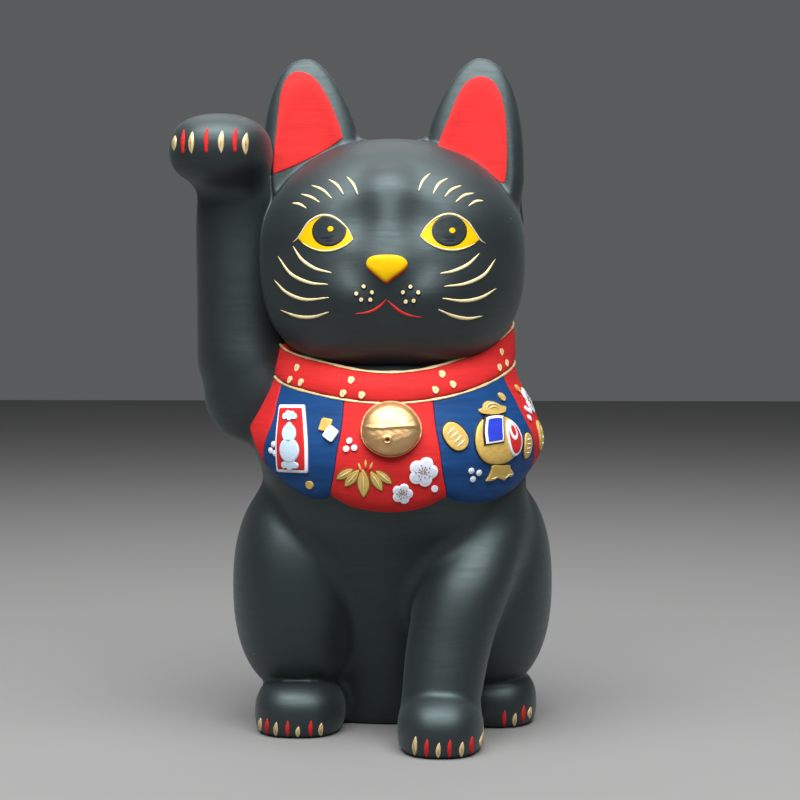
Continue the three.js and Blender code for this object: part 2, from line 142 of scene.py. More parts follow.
def upright(x, y, z, stations):
    """Distance to a limb that stands: its middle and its radius are smooth curves of the height
    through (x, y, z, radius) stations, and past its ends it closes as a ball."""
    stations = np.array(sorted(stations, key=lambda station: station[2]), float)
    height = stations[:, 2]
    at_x, at_y, radius = [through(*zip(height, stations[:, i])) for i in (0, 1, 3)]
    level = np.clip(z, height[0], height[-1])
    across = (x - at_x(level)) ** 2 + (y - at_y(level)) ** 2
    return np.sqrt(across + (z - level) ** 2) - radius(level)


# ---- The trunk that body, collar and bib share ----

half_width = through(
    (0, 50), (30, 59), (65, 61), (95, 60), (112, 59), (130, 63), (145, 58), (158, 51.5), (172, 50), (186, 50)
)
front_reach = through(
    (0, 10), (25, 18), (60, 34), (80, 45), (97, 56), (118, 63), (130, 62), (147, 56), (160, 51), (169, 40),
    (186, 32)
)
back_reach = through(
    (0, 62), (30, 73), (60, 75), (95, 69), (130, 59), (150, 52), (165, 47), (186, 42)
)


def on_trunk(angle, z, lift=0.0):
    """A point on the trunk's oval at height z, lift outside it; angle 0 is the front."""
    deep = (front_reach(z) + back_reach(z)) / 2
    middle = (back_reach(z) - front_reach(z)) / 2
    x = (half_width(z) + lift) * np.sin(angle)
    return np.stack(np.broadcast_arrays(x, middle - (deep + lift) * np.cos(angle), z), axis=-1)


def trunk(x, y, z, low, high, lift=0.0):
    """Distance to the trunk's oval between two heights: across, (g - 1) over g's slope for the
    ellipse of that height; up and down, the distance past the ends."""
    wide = half_width(z) + lift
    deep = (front_reach(z) + back_reach(z)) / 2 + lift
    dy = y - (back_reach(z) - front_reach(z)) / 2
    g = np.sqrt((x / wide) ** 2 + (dy / deep) ** 2) + 1e-5
    steep = np.sqrt((x / wide**2) ** 2 + (dy / deep**2) ** 2) / g + 1e-6
    across = (g - 1) / steep
    ends = np.maximum(low - z, z - high)
    return -meet(-across, -ends, 3.0)


# ---- Making meshes ----


def slope_of(field, points, reach=0.25):
    """The field's slope at points, by differences over a short reach."""
    sides = []
    for axis in range(3):
        ahead, behind = points.copy(), points.copy()
        ahead[:, axis] += reach
        behind[:, axis] -= reach
        sides.append((field(*ahead.T) - field(*behind.T)) / (2 * reach))
    return np.stack(sides, axis=1)


def settle(field, points, level=0.0, rounds=3):
    """Slides points down the field's slope until the field there is level."""
    for _ in range(rounds):
        slope = slope_of(field, points)
        off = field(*points.T) - level
        points = points - slope * (off / np.maximum((slope**2).sum(axis=1), 1e-6))[:, None]
    return points


def skin(field, low, high, step):
    """The closed surface where a field is zero. One vertex stands in each cell of a grid that the
    surface passes through and one square on each grid edge that it crosses; the vertices are evened
    out between their neighbours and slid onto the zero level."""
    axes = [np.arange(a - step, b + 2 * step, step) for a, b in zip(low, high)]
    inside = field(*np.meshgrid(*axes, indexing="ij", sparse=True)) < 0
    count = np.zeros([len(axis) - 1 for axis in axes], int)
    for i in (0, 1):
        for j in (0, 1):
            for k in (0, 1):
                count += inside[i : i - 1 or None, j : j - 1 or None, k : k - 1 or None]
    crossed = (count > 0) & (count < 8)
    number = np.cumsum(crossed).reshape(crossed.shape) - 1
    cells = np.argwhere(crossed)
    origin = np.array([axis[0] for axis in axes])
    points = origin + (cells + 0.5) * step
    squares = []
    for axis in range(3):
        order = [axis, (axis + 1) % 3, (axis + 2) % 3]
        turned = inside.transpose(order)
        cell = number.transpose(order)
        a, b = turned[:-1, 1:-1, 1:-1], turned[1:, 1:-1, 1:-1]
        ring = np.stack(
            [cell[:, :-1, :-1], cell[:, 1:, :-1], cell[:, 1:, 1:], cell[:, :-1, 1:]], axis=-1
        )
        squares += [ring[a & ~b], ring[~a & b][:, ::-1]]
    squares = np.concatenate(squares)
    points = settle(field, points, rounds=2)
    for _ in range(3):
        points = settle(field, evened(points, squares), rounds=1)
    return settle(field, points, rounds=2), squares


def evened(points, squares):
    """Each point moved half way to the mean of its neighbours round the squares."""
    ends = np.concatenate([squares, squares])
    others = np.concatenate([np.roll(squares, 1, axis=1), np.roll(squares, -1, axis=1)])
    total = np.stack(
        [np.bincount(ends.ravel(), points[others.ravel(), axis], len(points)) for axis in range(3)],
        axis=1,
    )
    share = np.bincount(ends.ravel(), minlength=len(points))[:, None]
    return (points + total / np.maximum(share, 1)) / 2


def mesh_object(name, points, faces, material):
    """A mesh object at the origin from points in millimetres and lists of equal-sided faces."""
    faces = [np.asarray(part) for part in faces if len(part)]
    mesh = bpy.data.meshes.new(name)
    mesh.vertices.add(len(points))
    mesh.vertices.foreach_set("co", (points * MM).astype(np.float32).ravel())
    sides = np.concatenate([np.full(len(part), part.shape[1]) for part in faces])
    corners = np.concatenate([part.ravel() for part in faces]).astype(np.int32)
    mesh.loops.add(len(corners))
    mesh.loops.foreach_set("vertex_index", corners)
    mesh.polygons.add(len(sides))
    mesh.polygons.foreach_set("loop_start", np.concatenate([[0], np.cumsum(sides)[:-1]]).astype(np.int32))
    mesh.polygons.foreach_set("use_smooth", np.full(len(sides), True))
    mesh.update(calc_edges=True)
    mesh.validate()
    piece = bpy.data.objects.new(name, mesh)
    bpy.context.scene.collection.objects.link(piece)
    mesh.materials.append(material)
    return piece


# ---- The clay: one field for body and limbs, one for the head ----

WALL = 5.5
HIND_LEGS = {
    "right": {"haunch": (-42, 2, 63), "toes": (-41, -17, 8.5), "heel": (-43, 24, 13)},
    "left": {"haunch": (42, 12, 63), "toes": (45.5, 7, 8.5), "heel": (43, 34, 13)},
}
HAUNCH_RADII = (30.5, 44, 50)
HIND_TOE_RADII = (20, 25, 16)
FORELEG = (
    (40, -12, 118, 17), (39.5, -16, 103, 19), (38.5, -24, 88, 20.5), (33, -35, 68, 20.5), (26, -43, 43, 18.5),
    (22.5, -50, 20, 17)
)
FRONT_TOES = ((22.2, -54, 8.5), (18.4, 26, 17))
SHOULDER = ((-34, 6, 142, 20), (-61.5, -3.2, 150.5, 23))
FOREARM = (
    (-61.5, -3.2, 150.5, 23), (-66, -5, 163, 21.8), (-68.5, -6, 178, 19.5), (-69.5, -6, 200, 18.6),
    (-70, -6, 222, 18.2), (-70, -8, 238, 17.2), (-71, -12, 250, 14.5)
)
PAW = ((-75.5, -20, 257.6), (22.5, 25, 16))
TAIL = ((4, 66, 12, 8), (20, 70, 13, 9), (36, 63, 17, 9.4), (46, 54, 29, 9), (43, 53, 44, 8))
STOPPER_MIDDLE, STOPPER_REACH = middle_and_reach("base_stopper")
SLOT = {"z": 128.0, "half_width": 18.0, "half_height": 2.4}


def hind_leg(x, y, z, side):
    """Haunch, toes and the foot's sole running back to the heel: three rounded lumps in one."""
    leg = HIND_LEGS[side]
    haunch = lump(x, y, z, leg["haunch"], HAUNCH_RADII, 2.3)
    toes = lump(x, y, z, leg["toes"], HIND_TOE_RADII, 2.5)
    sole = limb(x, y, z, [(*leg["toes"], 13), (*leg["heel"], 14)], steps=1)
    return meet(meet(haunch, sole, 6.0), toes, 1.6)


def body_outside(x, y, z):
    """Trunk, hind legs, foreleg, arm with its paw, and tail, each rounded into the next."""
    field = trunk(x, y, z, -8.0, 178.0)
    field = meet(field, hind_leg(x, y, z, "right"), 5.0)
    field = meet(field, hind_leg(x, y, z, "left"), 5.0)
    foreleg = upright(x, y, z, FORELEG)
    field = meet(field, foreleg, 9.0)
    field = meet(field, lump(x, y, z, *FRONT_TOES, 2.4), 2.2)
    arm = meet(upright(x, y, z, FOREARM), lump(x, y, z, *PAW, 2.3), 8.0)
    arm = meet(arm, limb(x, y, z, SHOULDER, 1), 3.0)
    field = meet(field, arm, 6.0)
    field = meet(field, limb(x, y, z, TAIL), 2.0)
    return -meet(-field, z, 2.5)


def chamber(x, y, z):
    """The hollow that holds the coins: the trunk and the haunches, a wall's thickness inside."""
    hollow = trunk(x, y, z, WALL, 149.0, -WALL)
    for side in HIND_LEGS:
        radii = [r - WALL for r in HAUNCH_RADII]
        hollow = meet(hollow, lump(x, y, z, HIND_LEGS[side]["haunch"], radii, 2.3), 4.0)
    return np.maximum(hollow, WALL - z)


def openings(x, y, z):
    """The coin slot, a flat rounded box through the back, and the stopper's stepped round seat."""
    across = np.abs(x) - (SLOT["half_width"] - SLOT["half_height"])
    tall = np.sqrt(np.maximum(across, 0) ** 2 + (z - SLOT["z"]) ** 2) - SLOT["half_height"]
    slot = np.maximum(tall, 30 - y)
    away = np.sqrt((x - STOPPER_MIDDLE[0]) ** 2 + (y - STOPPER_MIDDLE[1]) ** 2)
    flange = np.maximum(away - STOPPER_REACH[0] - 0.4, z - 4.2)
    plug = np.maximum(away - STOPPER_REACH[0] + 2.6, z - WALL - 4)
    return np.minimum(slot, np.minimum(flange, plug))


def body_field(x, y, z):
    """The body's clay: the outside less the chamber and the openings."""
    hollow = np.minimum(chamber(x, y, z), openings(x, y, z))
    return carve(body_outside(x, y, z), hollow, 0.9)


SKULL = ((0, -6, 211), (59.5, 51, 52.5))
EAR = {
    "x": 38.0, "z": 245.0, "inner": 26.0, "outer": 21.0, "y": -2.0, "lean": 3.5, "base": 14.0, "tip": 6.5, "root": 228.0
}


def ear_outline(u, v):
    """How far out a point lies in an ear's outline, 1 on its edge. u runs away from the head's
    middle plane and v up, both from the ear's foot. Towards the head the edge is |u/26|^1.6 +
    |v/55|^1.6 = 1, and away from it |u/21|^2.4 + |v/55|^2.4 = 1."""
    tall = EAR_TIP - EAR["z"]
    toward = u < 0
    power = np.where(toward, 1.6, 2.4)
    wide = np.where(toward, EAR["inner"], EAR["outer"] + 0.16 * np.minimum(v, 0))
    rise = np.maximum(v, 0) / tall
    return ((np.abs(u) / wide + 1e-5) ** power + (rise + 1e-5) ** power) ** (1 / power)


def ear_field(x, y, z):
    """An ear: the outline with a depth that thins towards the tip, rounded at the rim as
    outline^2.6 + |depth|^2.6 = 1. In front it is hollowed where a smaller outline, level 0.74 of one
    stretched by a fifth upwards, and a depth of 0.3 of its own from the front make h below 1:
    h = (outline/0.74)^5 + ((depth + 1)/0.3)^2."""
    u, v = np.abs(x) - EAR["x"], z - EAR["z"]
    tall = EAR_TIP - EAR["z"]
    share = np.clip(v / tall, -0.3, 1)
    deep = EAR["base"] + (EAR["tip"] - EAR["base"]) * share
    dy = (y - EAR["y"] - EAR["lean"] * share) / deep
    shell = (ear_outline(u, v) ** 2.6 + (np.abs(dy) + 1e-5) ** 2.6) ** (1 / 2.6)
    shell = np.maximum(shell, 1 + (EAR["root"] - z) / 14)
    rim = (ear_outline(u, 0.83 * v) / 0.74) ** 5
    hollow = np.sqrt(rim + ((dy + 1.0) / 0.3) ** 2) - 1
    return carve((shell - 1) * 14, hollow * 4, 1.2)


def skull(x, y, z):
    """The skull: seen from the front |x/a|^p + |z/c|^p = g^p, p falling from 2.5 at the temples to 2.1
    at the crown, and that g and depth joined as g^2.1 + |y/b|^2.1 = 1."""
    a, b, c = (np.abs(v - at) / r + 1e-5 for v, at, r in zip((x, y, z), *SKULL))
    power = 2.5 - 0.4 * np.clip((z - 215) / 25, 0, 1)
    g = (a**power + c**power) ** (1 / power)
    return ((g**2.1 + b**2.1) ** (1 / 2.1) - 1) * 50


def head_field(x, y, z):
    """The head: a skull, a muzzle and cheeks, the bridge of the nose, eye hollows beside it and two
    ears, each rounded into the next."""
    field = skull(x, y, z)
    wide = np.abs(x)
    field = meet(field, lump(wide, y, z, (0, -20, 191.5), (45.5, 40, 33), 2.45), 12.0)
    field = meet(field, lump(wide, y, z, (13, -46, 192), (15, 16, 12), 2.0), 8.0)
    field = meet(field, limb(x, y, z, [(0, -43, 236, 9), (0, -46, 222, 9), (0, -51, 206, 11)], 4), 9.0)
    field = carve(field, lump(wide, y, z, (16, -71, 229), (11, 16, 12), 2.0), 9.0)
    base = np.where(y < EAR["y"] - 4, 1.6, 5.0)
    return meet(field, ear_field(x, y, z), base)


# ---- Laying thin pieces on surfaces ----

BIB_LIFT = 4.6
PAINT = 0.3


def facing(field, start=-112.0):
    """Places (x, z, height) on a field's front: from y = start it walks back along Y by seven tenths
    of the field's value until the field is nil, then goes out by the height along its slope."""

    def place(x, z, height):
        x, z, height = np.broadcast_arrays(np.asarray(x, float), z, height)
        points = np.stack([x.ravel(), np.full(x.size, start), z.ravel()], axis=1)
        for _ in range(80):
            points[:, 1] += 0.7 * np.clip(field(*points.T), -2, 8)
        out = slope_of(field, points)
        out /= np.linalg.norm(out, axis=1)[:, None] + 1e-9
        return (points + out * height.ravel()[:, None]).reshape(*x.shape, 3)

    return place


def on_bib(degrees, z, turn=0.0, lift=BIB_LIFT, upright_lines=False):
    """Places (u, v, height) on the bib round a point given by its angle and height: u and v turned by
    turn degrees, u laid along the oval as an angle of u over its width there, v added to z. With
    upright lines the angle changes with height so that the middle line keeps its x."""
    angle = math.radians(degrees)
    ends = on_trunk(np.array([angle - 0.01, angle + 0.01]), np.array([z, z]), lift)
    around = np.linalg.norm(ends[1] - ends[0]) / 0.02
    c, s = math.cos(math.radians(turn)), math.sin(math.radians(turn))

    def place(u, v, height):
        level = z + s * u + c * v
        middle = angle
        if upright_lines:
            wide = (half_width(z) + lift) / (half_width(level) + lift)
            middle = np.arcsin(np.clip(math.sin(angle) * wide, -0.999, 0.999))
        return on_trunk(middle + (c * u - s * v) / around, level, lift + height)

    return place


def closed_curve(corners, count=72):
    """A smooth closed line of count points through the corners, by the cubic of `through` with the
    corners repeated past both ends."""
    corners = np.array(corners, float)
    n = len(corners)
    around = np.arange(-2, n + 3)
    at = np.linspace(0, n, count, endpoint=False)
    return np.stack([through(*zip(around, corners[around % n, i]))(at) for i in (0, 1)], axis=1)


def oval(a, b, count=48, power=2.0, wobble=0.0):
    """A closed line |x/a|^p + |y/b|^p = 1, anticlockwise, with three and five slow waves on it."""
    t = np.linspace(0, 2 * math.pi, count, endpoint=False)
    c, s = np.cos(t), np.sin(t)
    r = (np.abs(c) ** power + np.abs(s) ** power) ** (-1 / power)
    r = r * (1 + wobble * (np.sin(3 * t + 0.7) + 0.6 * np.sin(5 * t + 2.1)))
    return np.stack([a * r * c, b * r * s], axis=1)


def lobes(circles, count=96):
    """The outline round some circles (x, y, radius) seen from their middle: in each direction, the
    farthest point where a ray leaves one of them."""
    t = np.linspace(0, 2 * math.pi, count, endpoint=False)
    way = np.stack([np.cos(t), np.sin(t)], axis=1)
    circles = np.array(circles, float)
    near = way @ circles[:, :2].T
    room = near**2 - (circles[:, :2] ** 2).sum(axis=1) + circles[:, 2] ** 2
    leaves = np.where(room > 0, near + np.sqrt(np.maximum(room, 0)), 0)
    return way * leaves.max(axis=1)[:, None]


def leaf(length, width, count=40):
    """A leaf's outline, pointed at both ends of its length along v: half its width is
    sin(pi s)^0.8 of the widest, s being the share of the length."""
    s = np.linspace(0, 1, count // 2, endpoint=False)
    half = width / 2 * np.sin(math.pi * s) ** 0.8
    right = np.stack([half, length * (s - 0.5)], axis=1)
    left = np.stack([-half, length * (0.5 - s)], axis=1)
    return np.concatenate([right, left])


RAISED = ((1, -0.5), (1, 0.55), (0.985, 0.82), (0.96, 0.95), (0.92, 1.0), (0.8, 1.0), (0.6, 1.0), (0.3, 1.0))


def button(place, outline, height=PAINT, profile=RAISED, middle=(0.0, 0.0)):
    """A closed low form: the outline shrunk about its middle to each share of the profile and raised
    to that share of the height, ring upon ring, with a pole under it and one on top."""
    share, rise = np.array(profile, float).T
    middle = np.array(middle, float)
    line = middle + share[:, None, None] * (outline - middle)
    tall = np.where(rise > 0, rise * height, rise)
    rings = place(line[..., 0], line[..., 1], np.broadcast_to(tall[:, None], line.shape[:2]))
    poles = place(np.full(2, middle[0]), np.full(2, middle[1]), tall[[0, -1]])
    return capped(rings, poles)


def stroke(place, path, half, height=PAINT, taper=(0.0, 0.0), steps=26, sides=8):
    """One touch of the brush: a low rounded section carried along a smooth path. Its half width goes
    from taper[0] of the widest at the start over the middle to taper[1] at the end, as a sine arch,
    and its height goes with the square root of the width."""
    path = np.array(path, float)
    at = np.linspace(0, len(path) - 1, steps)
    line = np.stack([through(*enumerate(path[:, i]))(at) for i in (0, 1)], axis=1)
    way = np.gradient(line, axis=0)
    way /= np.linalg.norm(way, axis=1)[:, None] + 1e-9
    left = np.stack([-way[:, 1], way[:, 0]], axis=1)
    t = np.linspace(0, 1, steps)
    arch = np.sin(math.pi * t) ** 0.7
    arch = np.maximum(arch, np.where(t < 0.5, taper[0], taper[1]) * np.minimum(1, 0.35 + 8 * np.minimum(t, 1 - t)))
    wide = half * np.maximum(arch, 0.04)
    turn = np.linspace(0, 2 * math.pi, sides, endpoint=False)
    rise = np.where(np.sin(turn) > 0, np.sin(turn), 0.6 * np.sin(turn))
    across = line[:, None] + left[:, None] * (wide[:, None] * np.cos(turn))[..., None]
    tall = height * np.sqrt(wide / half)[:, None] * rise
    rings = place(across[..., 0], across[..., 1], tall)
    poles = place(line[[0, -1], 0], line[[0, -1], 1], np.zeros(2))
    return capped(rings, poles)


def capped(rings, poles):
    """A tube through rings of points, closed at each end by a fan to a pole."""
    n = rings.shape[1]
    first = np.arange(rings.shape[0] - 1)[:, None] * n
    j, k = np.arange(n), (np.arange(n) + 1) % n
    sides = np.stack(np.broadcast_arrays(first + j, first + k, first + n + k, first + n + j), axis=-1)
    start, end = rings.shape[0] * n, rings.shape[0] * n + 1
    last = (rings.shape[0] - 1) * n
    caps = [np.stack([np.full(n, start), k, j], axis=1), np.stack([np.full(n, end), last + j, last + k], axis=1)]
    return np.concatenate([rings.reshape(-1, 3), poles]), [sides.reshape(-1, 4), np.concatenate(caps)]


def hoop(rings):
    """A closed ring: a grid of points joined end to end both ways."""
    m, n = rings.shape[:2]
    i, j = np.arange(m)[:, None], np.arange(n)[None]
    up, on = (i + 1) % m, (j + 1) % n
    faces = np.stack(np.broadcast_arrays(i * n + j, i * n + on, up * n + on, up * n + j), axis=-1)
    return rings.reshape(-1, 3), [faces.reshape(-1, 4)]


def slab(outer, inner):
    """A closed plate from two grids of points that face each other, joined round their rims."""
    m, n = outer.shape[:2]
    number = np.arange(m * n).reshape(m, n)
    quads = np.stack([number[:-1, :-1], number[1:, :-1], number[1:, 1:], number[:-1, 1:]], axis=-1).reshape(-1, 4)
    rim = np.concatenate([number[:, 0], number[-1, 1:], number[-2::-1, -1], number[0, -2:0:-1]])
    ahead = np.roll(rim, -1)
    sides = np.stack([rim, rim + m * n, ahead + m * n, ahead], axis=1)
    return np.concatenate([outer.reshape(-1, 3), inner.reshape(-1, 3)]), [quads, quads[:, ::-1] + m * n, sides]


def pile(*shapes):
    """Several closed shapes as one list of points and faces."""
    points, faces, count = [], [], 0
    for some, parts in shapes:
        points.append(some)
        faces += [part + count for part in parts]
        count += len(some)
    return np.concatenate(points), faces


def outward(points, faces):
    """The faces, turned round if the volume they enclose comes out below nil."""
    volume = 0.0
    for part in faces:
        if len(part):
            for i in range(1, part.shape[1] - 1):
                a, b, c = points[part[:, 0]], points[part[:, i]], points[part[:, i + 1]]
                volume += (a * np.cross(b, c)).sum()
    return faces if volume > 0 else [part[:, ::-1] for part in faces]


# The frame's material slot of each look that has no slot of its own name.
SLOTS = {
    "line_black": "black_pottery", "iris_grey": "black_pottery", "cream_line": "gold_leaf", "gold_line": "gold_leaf",
    "brown_line": "ochre_gold_slip", "lip_red": "red_paint", "petal_shade": "white_slip", "cobalt_paint": "blue_paint",
}


def add(name, shapes, look, replaces=(), slot=None):
    """Makes one piece of the cat from closed shapes, each turned to face outwards, in a named look."""
    material = finish(look)
    slot = slot or SLOTS.get(look, look)
    shapes = [(points, outward(points, faces)) for points, faces in shapes]
    points, faces = pile(*shapes)
    quads = [part for part in faces if part.shape[1] == 4]
    fans = [part for part in faces if part.shape[1] == 3]
    faces = [np.concatenate(part) for part in (quads, fans) if part]
    piece = mesh_object(name, points, faces, material)
    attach(piece, "cat")
    if replaces:
        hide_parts(*replaces)
    return piece


# ---- Finishes ----


def tint(red, green, blue):
    """A screen colour from 0 to 255 as the light it stands for: ((c + 0.055) / 1.055)^2.4."""
    screen = np.array([red, green, blue]) / 255
    return tuple(float(c) for c in np.where(screen > 0.04045, ((screen + 0.055) / 1.055) ** 2.4, screen / 12.92))


def node(tree, kind, options=None, sockets=None):
    """Adds a node, sets its options and gives each named socket a value or joins it to another."""
    made = tree.nodes.new(kind)
    for key, value in (options or {}).items():
        setattr(made, key, value)
    for key, value in (sockets or {}).items():
        if isinstance(value, bpy.types.NodeSocket):
            tree.links.new(value, made.inputs[key])
        else:
            made.inputs[key].default_value = value
    return made


def shader_group(name, inputs, outputs):
    """An empty shader node group with the named inputs and outputs."""
    group = bpy.data.node_groups.new(name, "ShaderNodeTree")
    for label, kind, value in inputs:
        socket = group.interface.new_socket(label, in_out="INPUT", socket_type=kind)
        socket.default_value = value
    for label, kind in outputs:
        group.interface.new_socket(label, in_out="OUTPUT", socket_type=kind)
    return group, node(group, "NodeGroupInput").outputs, node(group, "NodeGroupOutput")


FLOAT, VECTOR, COLOR = "NodeSocketFloat", "NodeSocketVector", "NodeSocketColor"


def between(tree, value, low, high, start=0.0, end=1.0):
    """A value's place from low to high, spread from start to end and held there."""
    sockets = {"Value": value, "From Min": low, "From Max": high, "To Min": start, "To Max": end}
    return node(tree, "ShaderNodeMapRange", {}, sockets).outputs[0]


def blended(tree, share, first, second):
    """Two colours blended by a share."""
    return node(tree, "ShaderNodeMix", {"data_type": "RGBA"}, {0: share, 6: first, 7: second}).outputs[2]


def reckon(tree, operation, *values, clamp=False):
    """One step of arithmetic on values or sockets."""
    options = {"operation": operation, "use_clamp": clamp}
    return node(tree, "ShaderNodeMath", options, dict(enumerate(values))).outputs[0]


def noise(tree, place, scale, detail, **more):
    """A noise pattern's value, where place says."""
    settings = {"Vector": place, "Scale": scale, "Detail": detail, **more}
    return node(tree, "ShaderNodeTexNoise", {}, settings).outputs[0]


def brush_marks_group():
    """Long soft marks of a brush run round the piece: noise squeezed by Run along each axis, and a
    broad slow unevenness of the coat."""
    group, given, out = shader_group(
        "Brush marks",
        [("Vector", VECTOR, (0, 0, 0)), ("Run", VECTOR, (0.1, 0.1, 1)), ("Fineness", FLOAT, 700.0)],
        [("Mark", FLOAT), ("Coat", FLOAT)],
    )
    run = node(group, "ShaderNodeVectorMath", {"operation": "MULTIPLY"}, {0: given["Vector"], 1: given["Run"]})
    marks = noise(group, run.outputs[0], given["Fineness"], 4.0, Roughness=0.6)
    broad = noise(group, given["Vector"], 38.0, 3.0)
    group.links.new(between(group, marks, 0.3, 0.7), out.inputs["Mark"])
    group.links.new(between(group, broad, 0.3, 0.7), out.inputs["Coat"])
    return group


def clay_grain_group():
    """The tooth of fired clay: a fine grain, and rare pale specks, each a small round cell of a
    scattered pattern whose own random number is high."""
    group, given, out = shader_group(
        "Clay grain",
        [("Vector", VECTOR, (0, 0, 0)), ("Fineness", FLOAT, 1500.0), ("Specks", FLOAT, 0.03)],
        [("Grain", FLOAT), ("Speck", FLOAT)],
    )
    grain = noise(group, given["Vector"], given["Fineness"], 3.0, Roughness=0.55)
    cells = node(group, "ShaderNodeTexVoronoi", {}, {"Vector": given["Vector"], "Scale": 230.0})
    round_spot = between(group, cells.outputs["Distance"], 0.1, 0.05)
    parts = node(group, "ShaderNodeSeparateColor", {}, {0: cells.outputs["Color"]})
    level = reckon(group, "SUBTRACT", 1.0, given["Specks"])
    chosen = reckon(group, "GREATER_THAN", parts.outputs[0], level)
    group.links.new(grain, out.inputs["Grain"])
    group.links.new(reckon(group, "MULTIPLY", round_spot, chosen), out.inputs["Speck"])
    return group


def wear_and_shade_group():
    """Where hands rub, and where shade is painted: rims from the mesh's own pointedness broken up by noise, and the
    hollows, its other side, as a mask for painted shade."""
    group, given, out = shader_group(
        "Wear and hollow shade",
        [("Vector", VECTOR, (0, 0, 0)), ("Reach", FLOAT, 0.06)],
        [("Rim", FLOAT), ("Hollow shade", FLOAT)],
    )
    point = node(group, "ShaderNodeNewGeometry").outputs["Pointiness"]
    share = reckon(group, "DIVIDE", reckon(group, "SUBTRACT", point, 0.5), given["Reach"])
    broken = between(group, noise(group, given["Vector"], 260.0, 4.0), 0.38, 0.62)
    group.links.new(reckon(group, "MULTIPLY", share, broken, clamp=True), out.inputs["Rim"])
    # The hollows: concave places, darkened in the finish as painted shade.
    group.links.new(reckon(group, "MULTIPLY", share, -1.0, clamp=True), out.inputs["Hollow shade"])
    return group


GROUP_MAKERS = {"Brush marks": brush_marks_group, "Clay grain": clay_grain_group, "Wear and hollow shade": wear_and_shade_group}

# Each finish: colour property, roughness, metallic, how far marks lighten and darken it, the brush's
# run along each axis and fineness, grain and mark depth in millimetres, specks, rim share, gloss.
FINISHES = {
    "black_pottery": ("pottery", 0.5, 0.0, 0.30, (0.12, 0.12, 1.0), 520.0, 0.04, 0.02, 0.014, 0.1, 0.75),
    "red_paint": ("red", 0.55, 0.0, 0.16, (0.08, 0.08, 1.0), 620.0, 0.03, 0.03, 0.0, 0.05, 0.08),
    "blue_paint": ("blue", 0.5, 0.0, 0.30, (0.1, 0.1, 1.0), 520.0, 0.03, 0.03, 0.0, 0.05, 0.12),
    "yellow_paint": ("yellow", 0.42, 0.0, 0.10, (0.4, 0.4, 1.0), 500.0, 0.03, 0.03, 0.0, 0.05, 0.1),
    "gold_leaf": ("gold_leaf", 0.42, 0.8, 0.20, (0.5, 0.5, 1.0), 330.0, 0.05, 0.06, 0.0, 0.2, 0.4),
    "gold_line": ("gold_line", 0.42, 0.35, 0.30, (1.0, 1.0, 1.0), 520.0, 0.03, 0.04, 0.0, 0.35, 0.4),
    "cream_line": ("cream_line", 0.45, 0.1, 0.22, (1.0, 1.0, 1.0), 620.0, 0.03, 0.04, 0.0, 0.2, 0.15),
    "ochre_gold_slip": ("ochre_gold", 0.44, 0.1, 0.22, (0.5, 0.5, 1.0), 700.0, 0.04, 0.04, 0.0, 0.3, 0.2),
    "brown_line": ("brown_line", 0.5, 0.1, 0.25, (1.0, 1.0, 1.0), 700.0, 0.03, 0.03, 0.0, 0.2, 0.3),
    "white_slip": ("white_slip", 0.42, 0.0, 0.06, (1.0, 1.0, 1.0), 700.0, 0.03, 0.03, 0.0, 0.1, 0.15),
    "petal_shade": ("petal_shade", 0.42, 0.0, 0.05, (1.0, 1.0, 1.0), 700.0, 0.03, 0.03, 0.0, 0.1, 0.3),
    "pale_blue_slip": ("pale_blue", 0.42, 0.0, 0.08, (1.0, 1.0, 1.0), 700.0, 0.03, 0.03, 0.0, 0.1, 0.15),
    "cobalt_paint": ("cobalt", 0.36, 0.0, 0.35, (0.3, 0.3, 1.0), 500.0, 0.03, 0.04, 0.0, 0.2, 0.35),
    "iris_grey": ("iris_grey", 0.4, 0.0, 0.2, (0.6, 0.6, 1.0), 400.0, 0.03, 0.06, 0.05, 0.1, 0.08),
    "line_black": ("line_black", 0.4, 0.0, 0.2, (1.0, 1.0, 1.0), 500.0, 0.03, 0.03, 0.0, 0.1, 0.3),
    "lip_red": ("lip_red", 0.42, 0.0, 0.2, (1.0, 1.0, 1.0), 600.0, 0.03, 0.04, 0.0, 0.2, 0.1),
    "stopper_rubber": ("rubber", 0.62, 0.0, 0.12, (1.0, 1.0, 1.0), 300.0, 0.08, 0.03, 0.004, 0.35, 0.3),
}


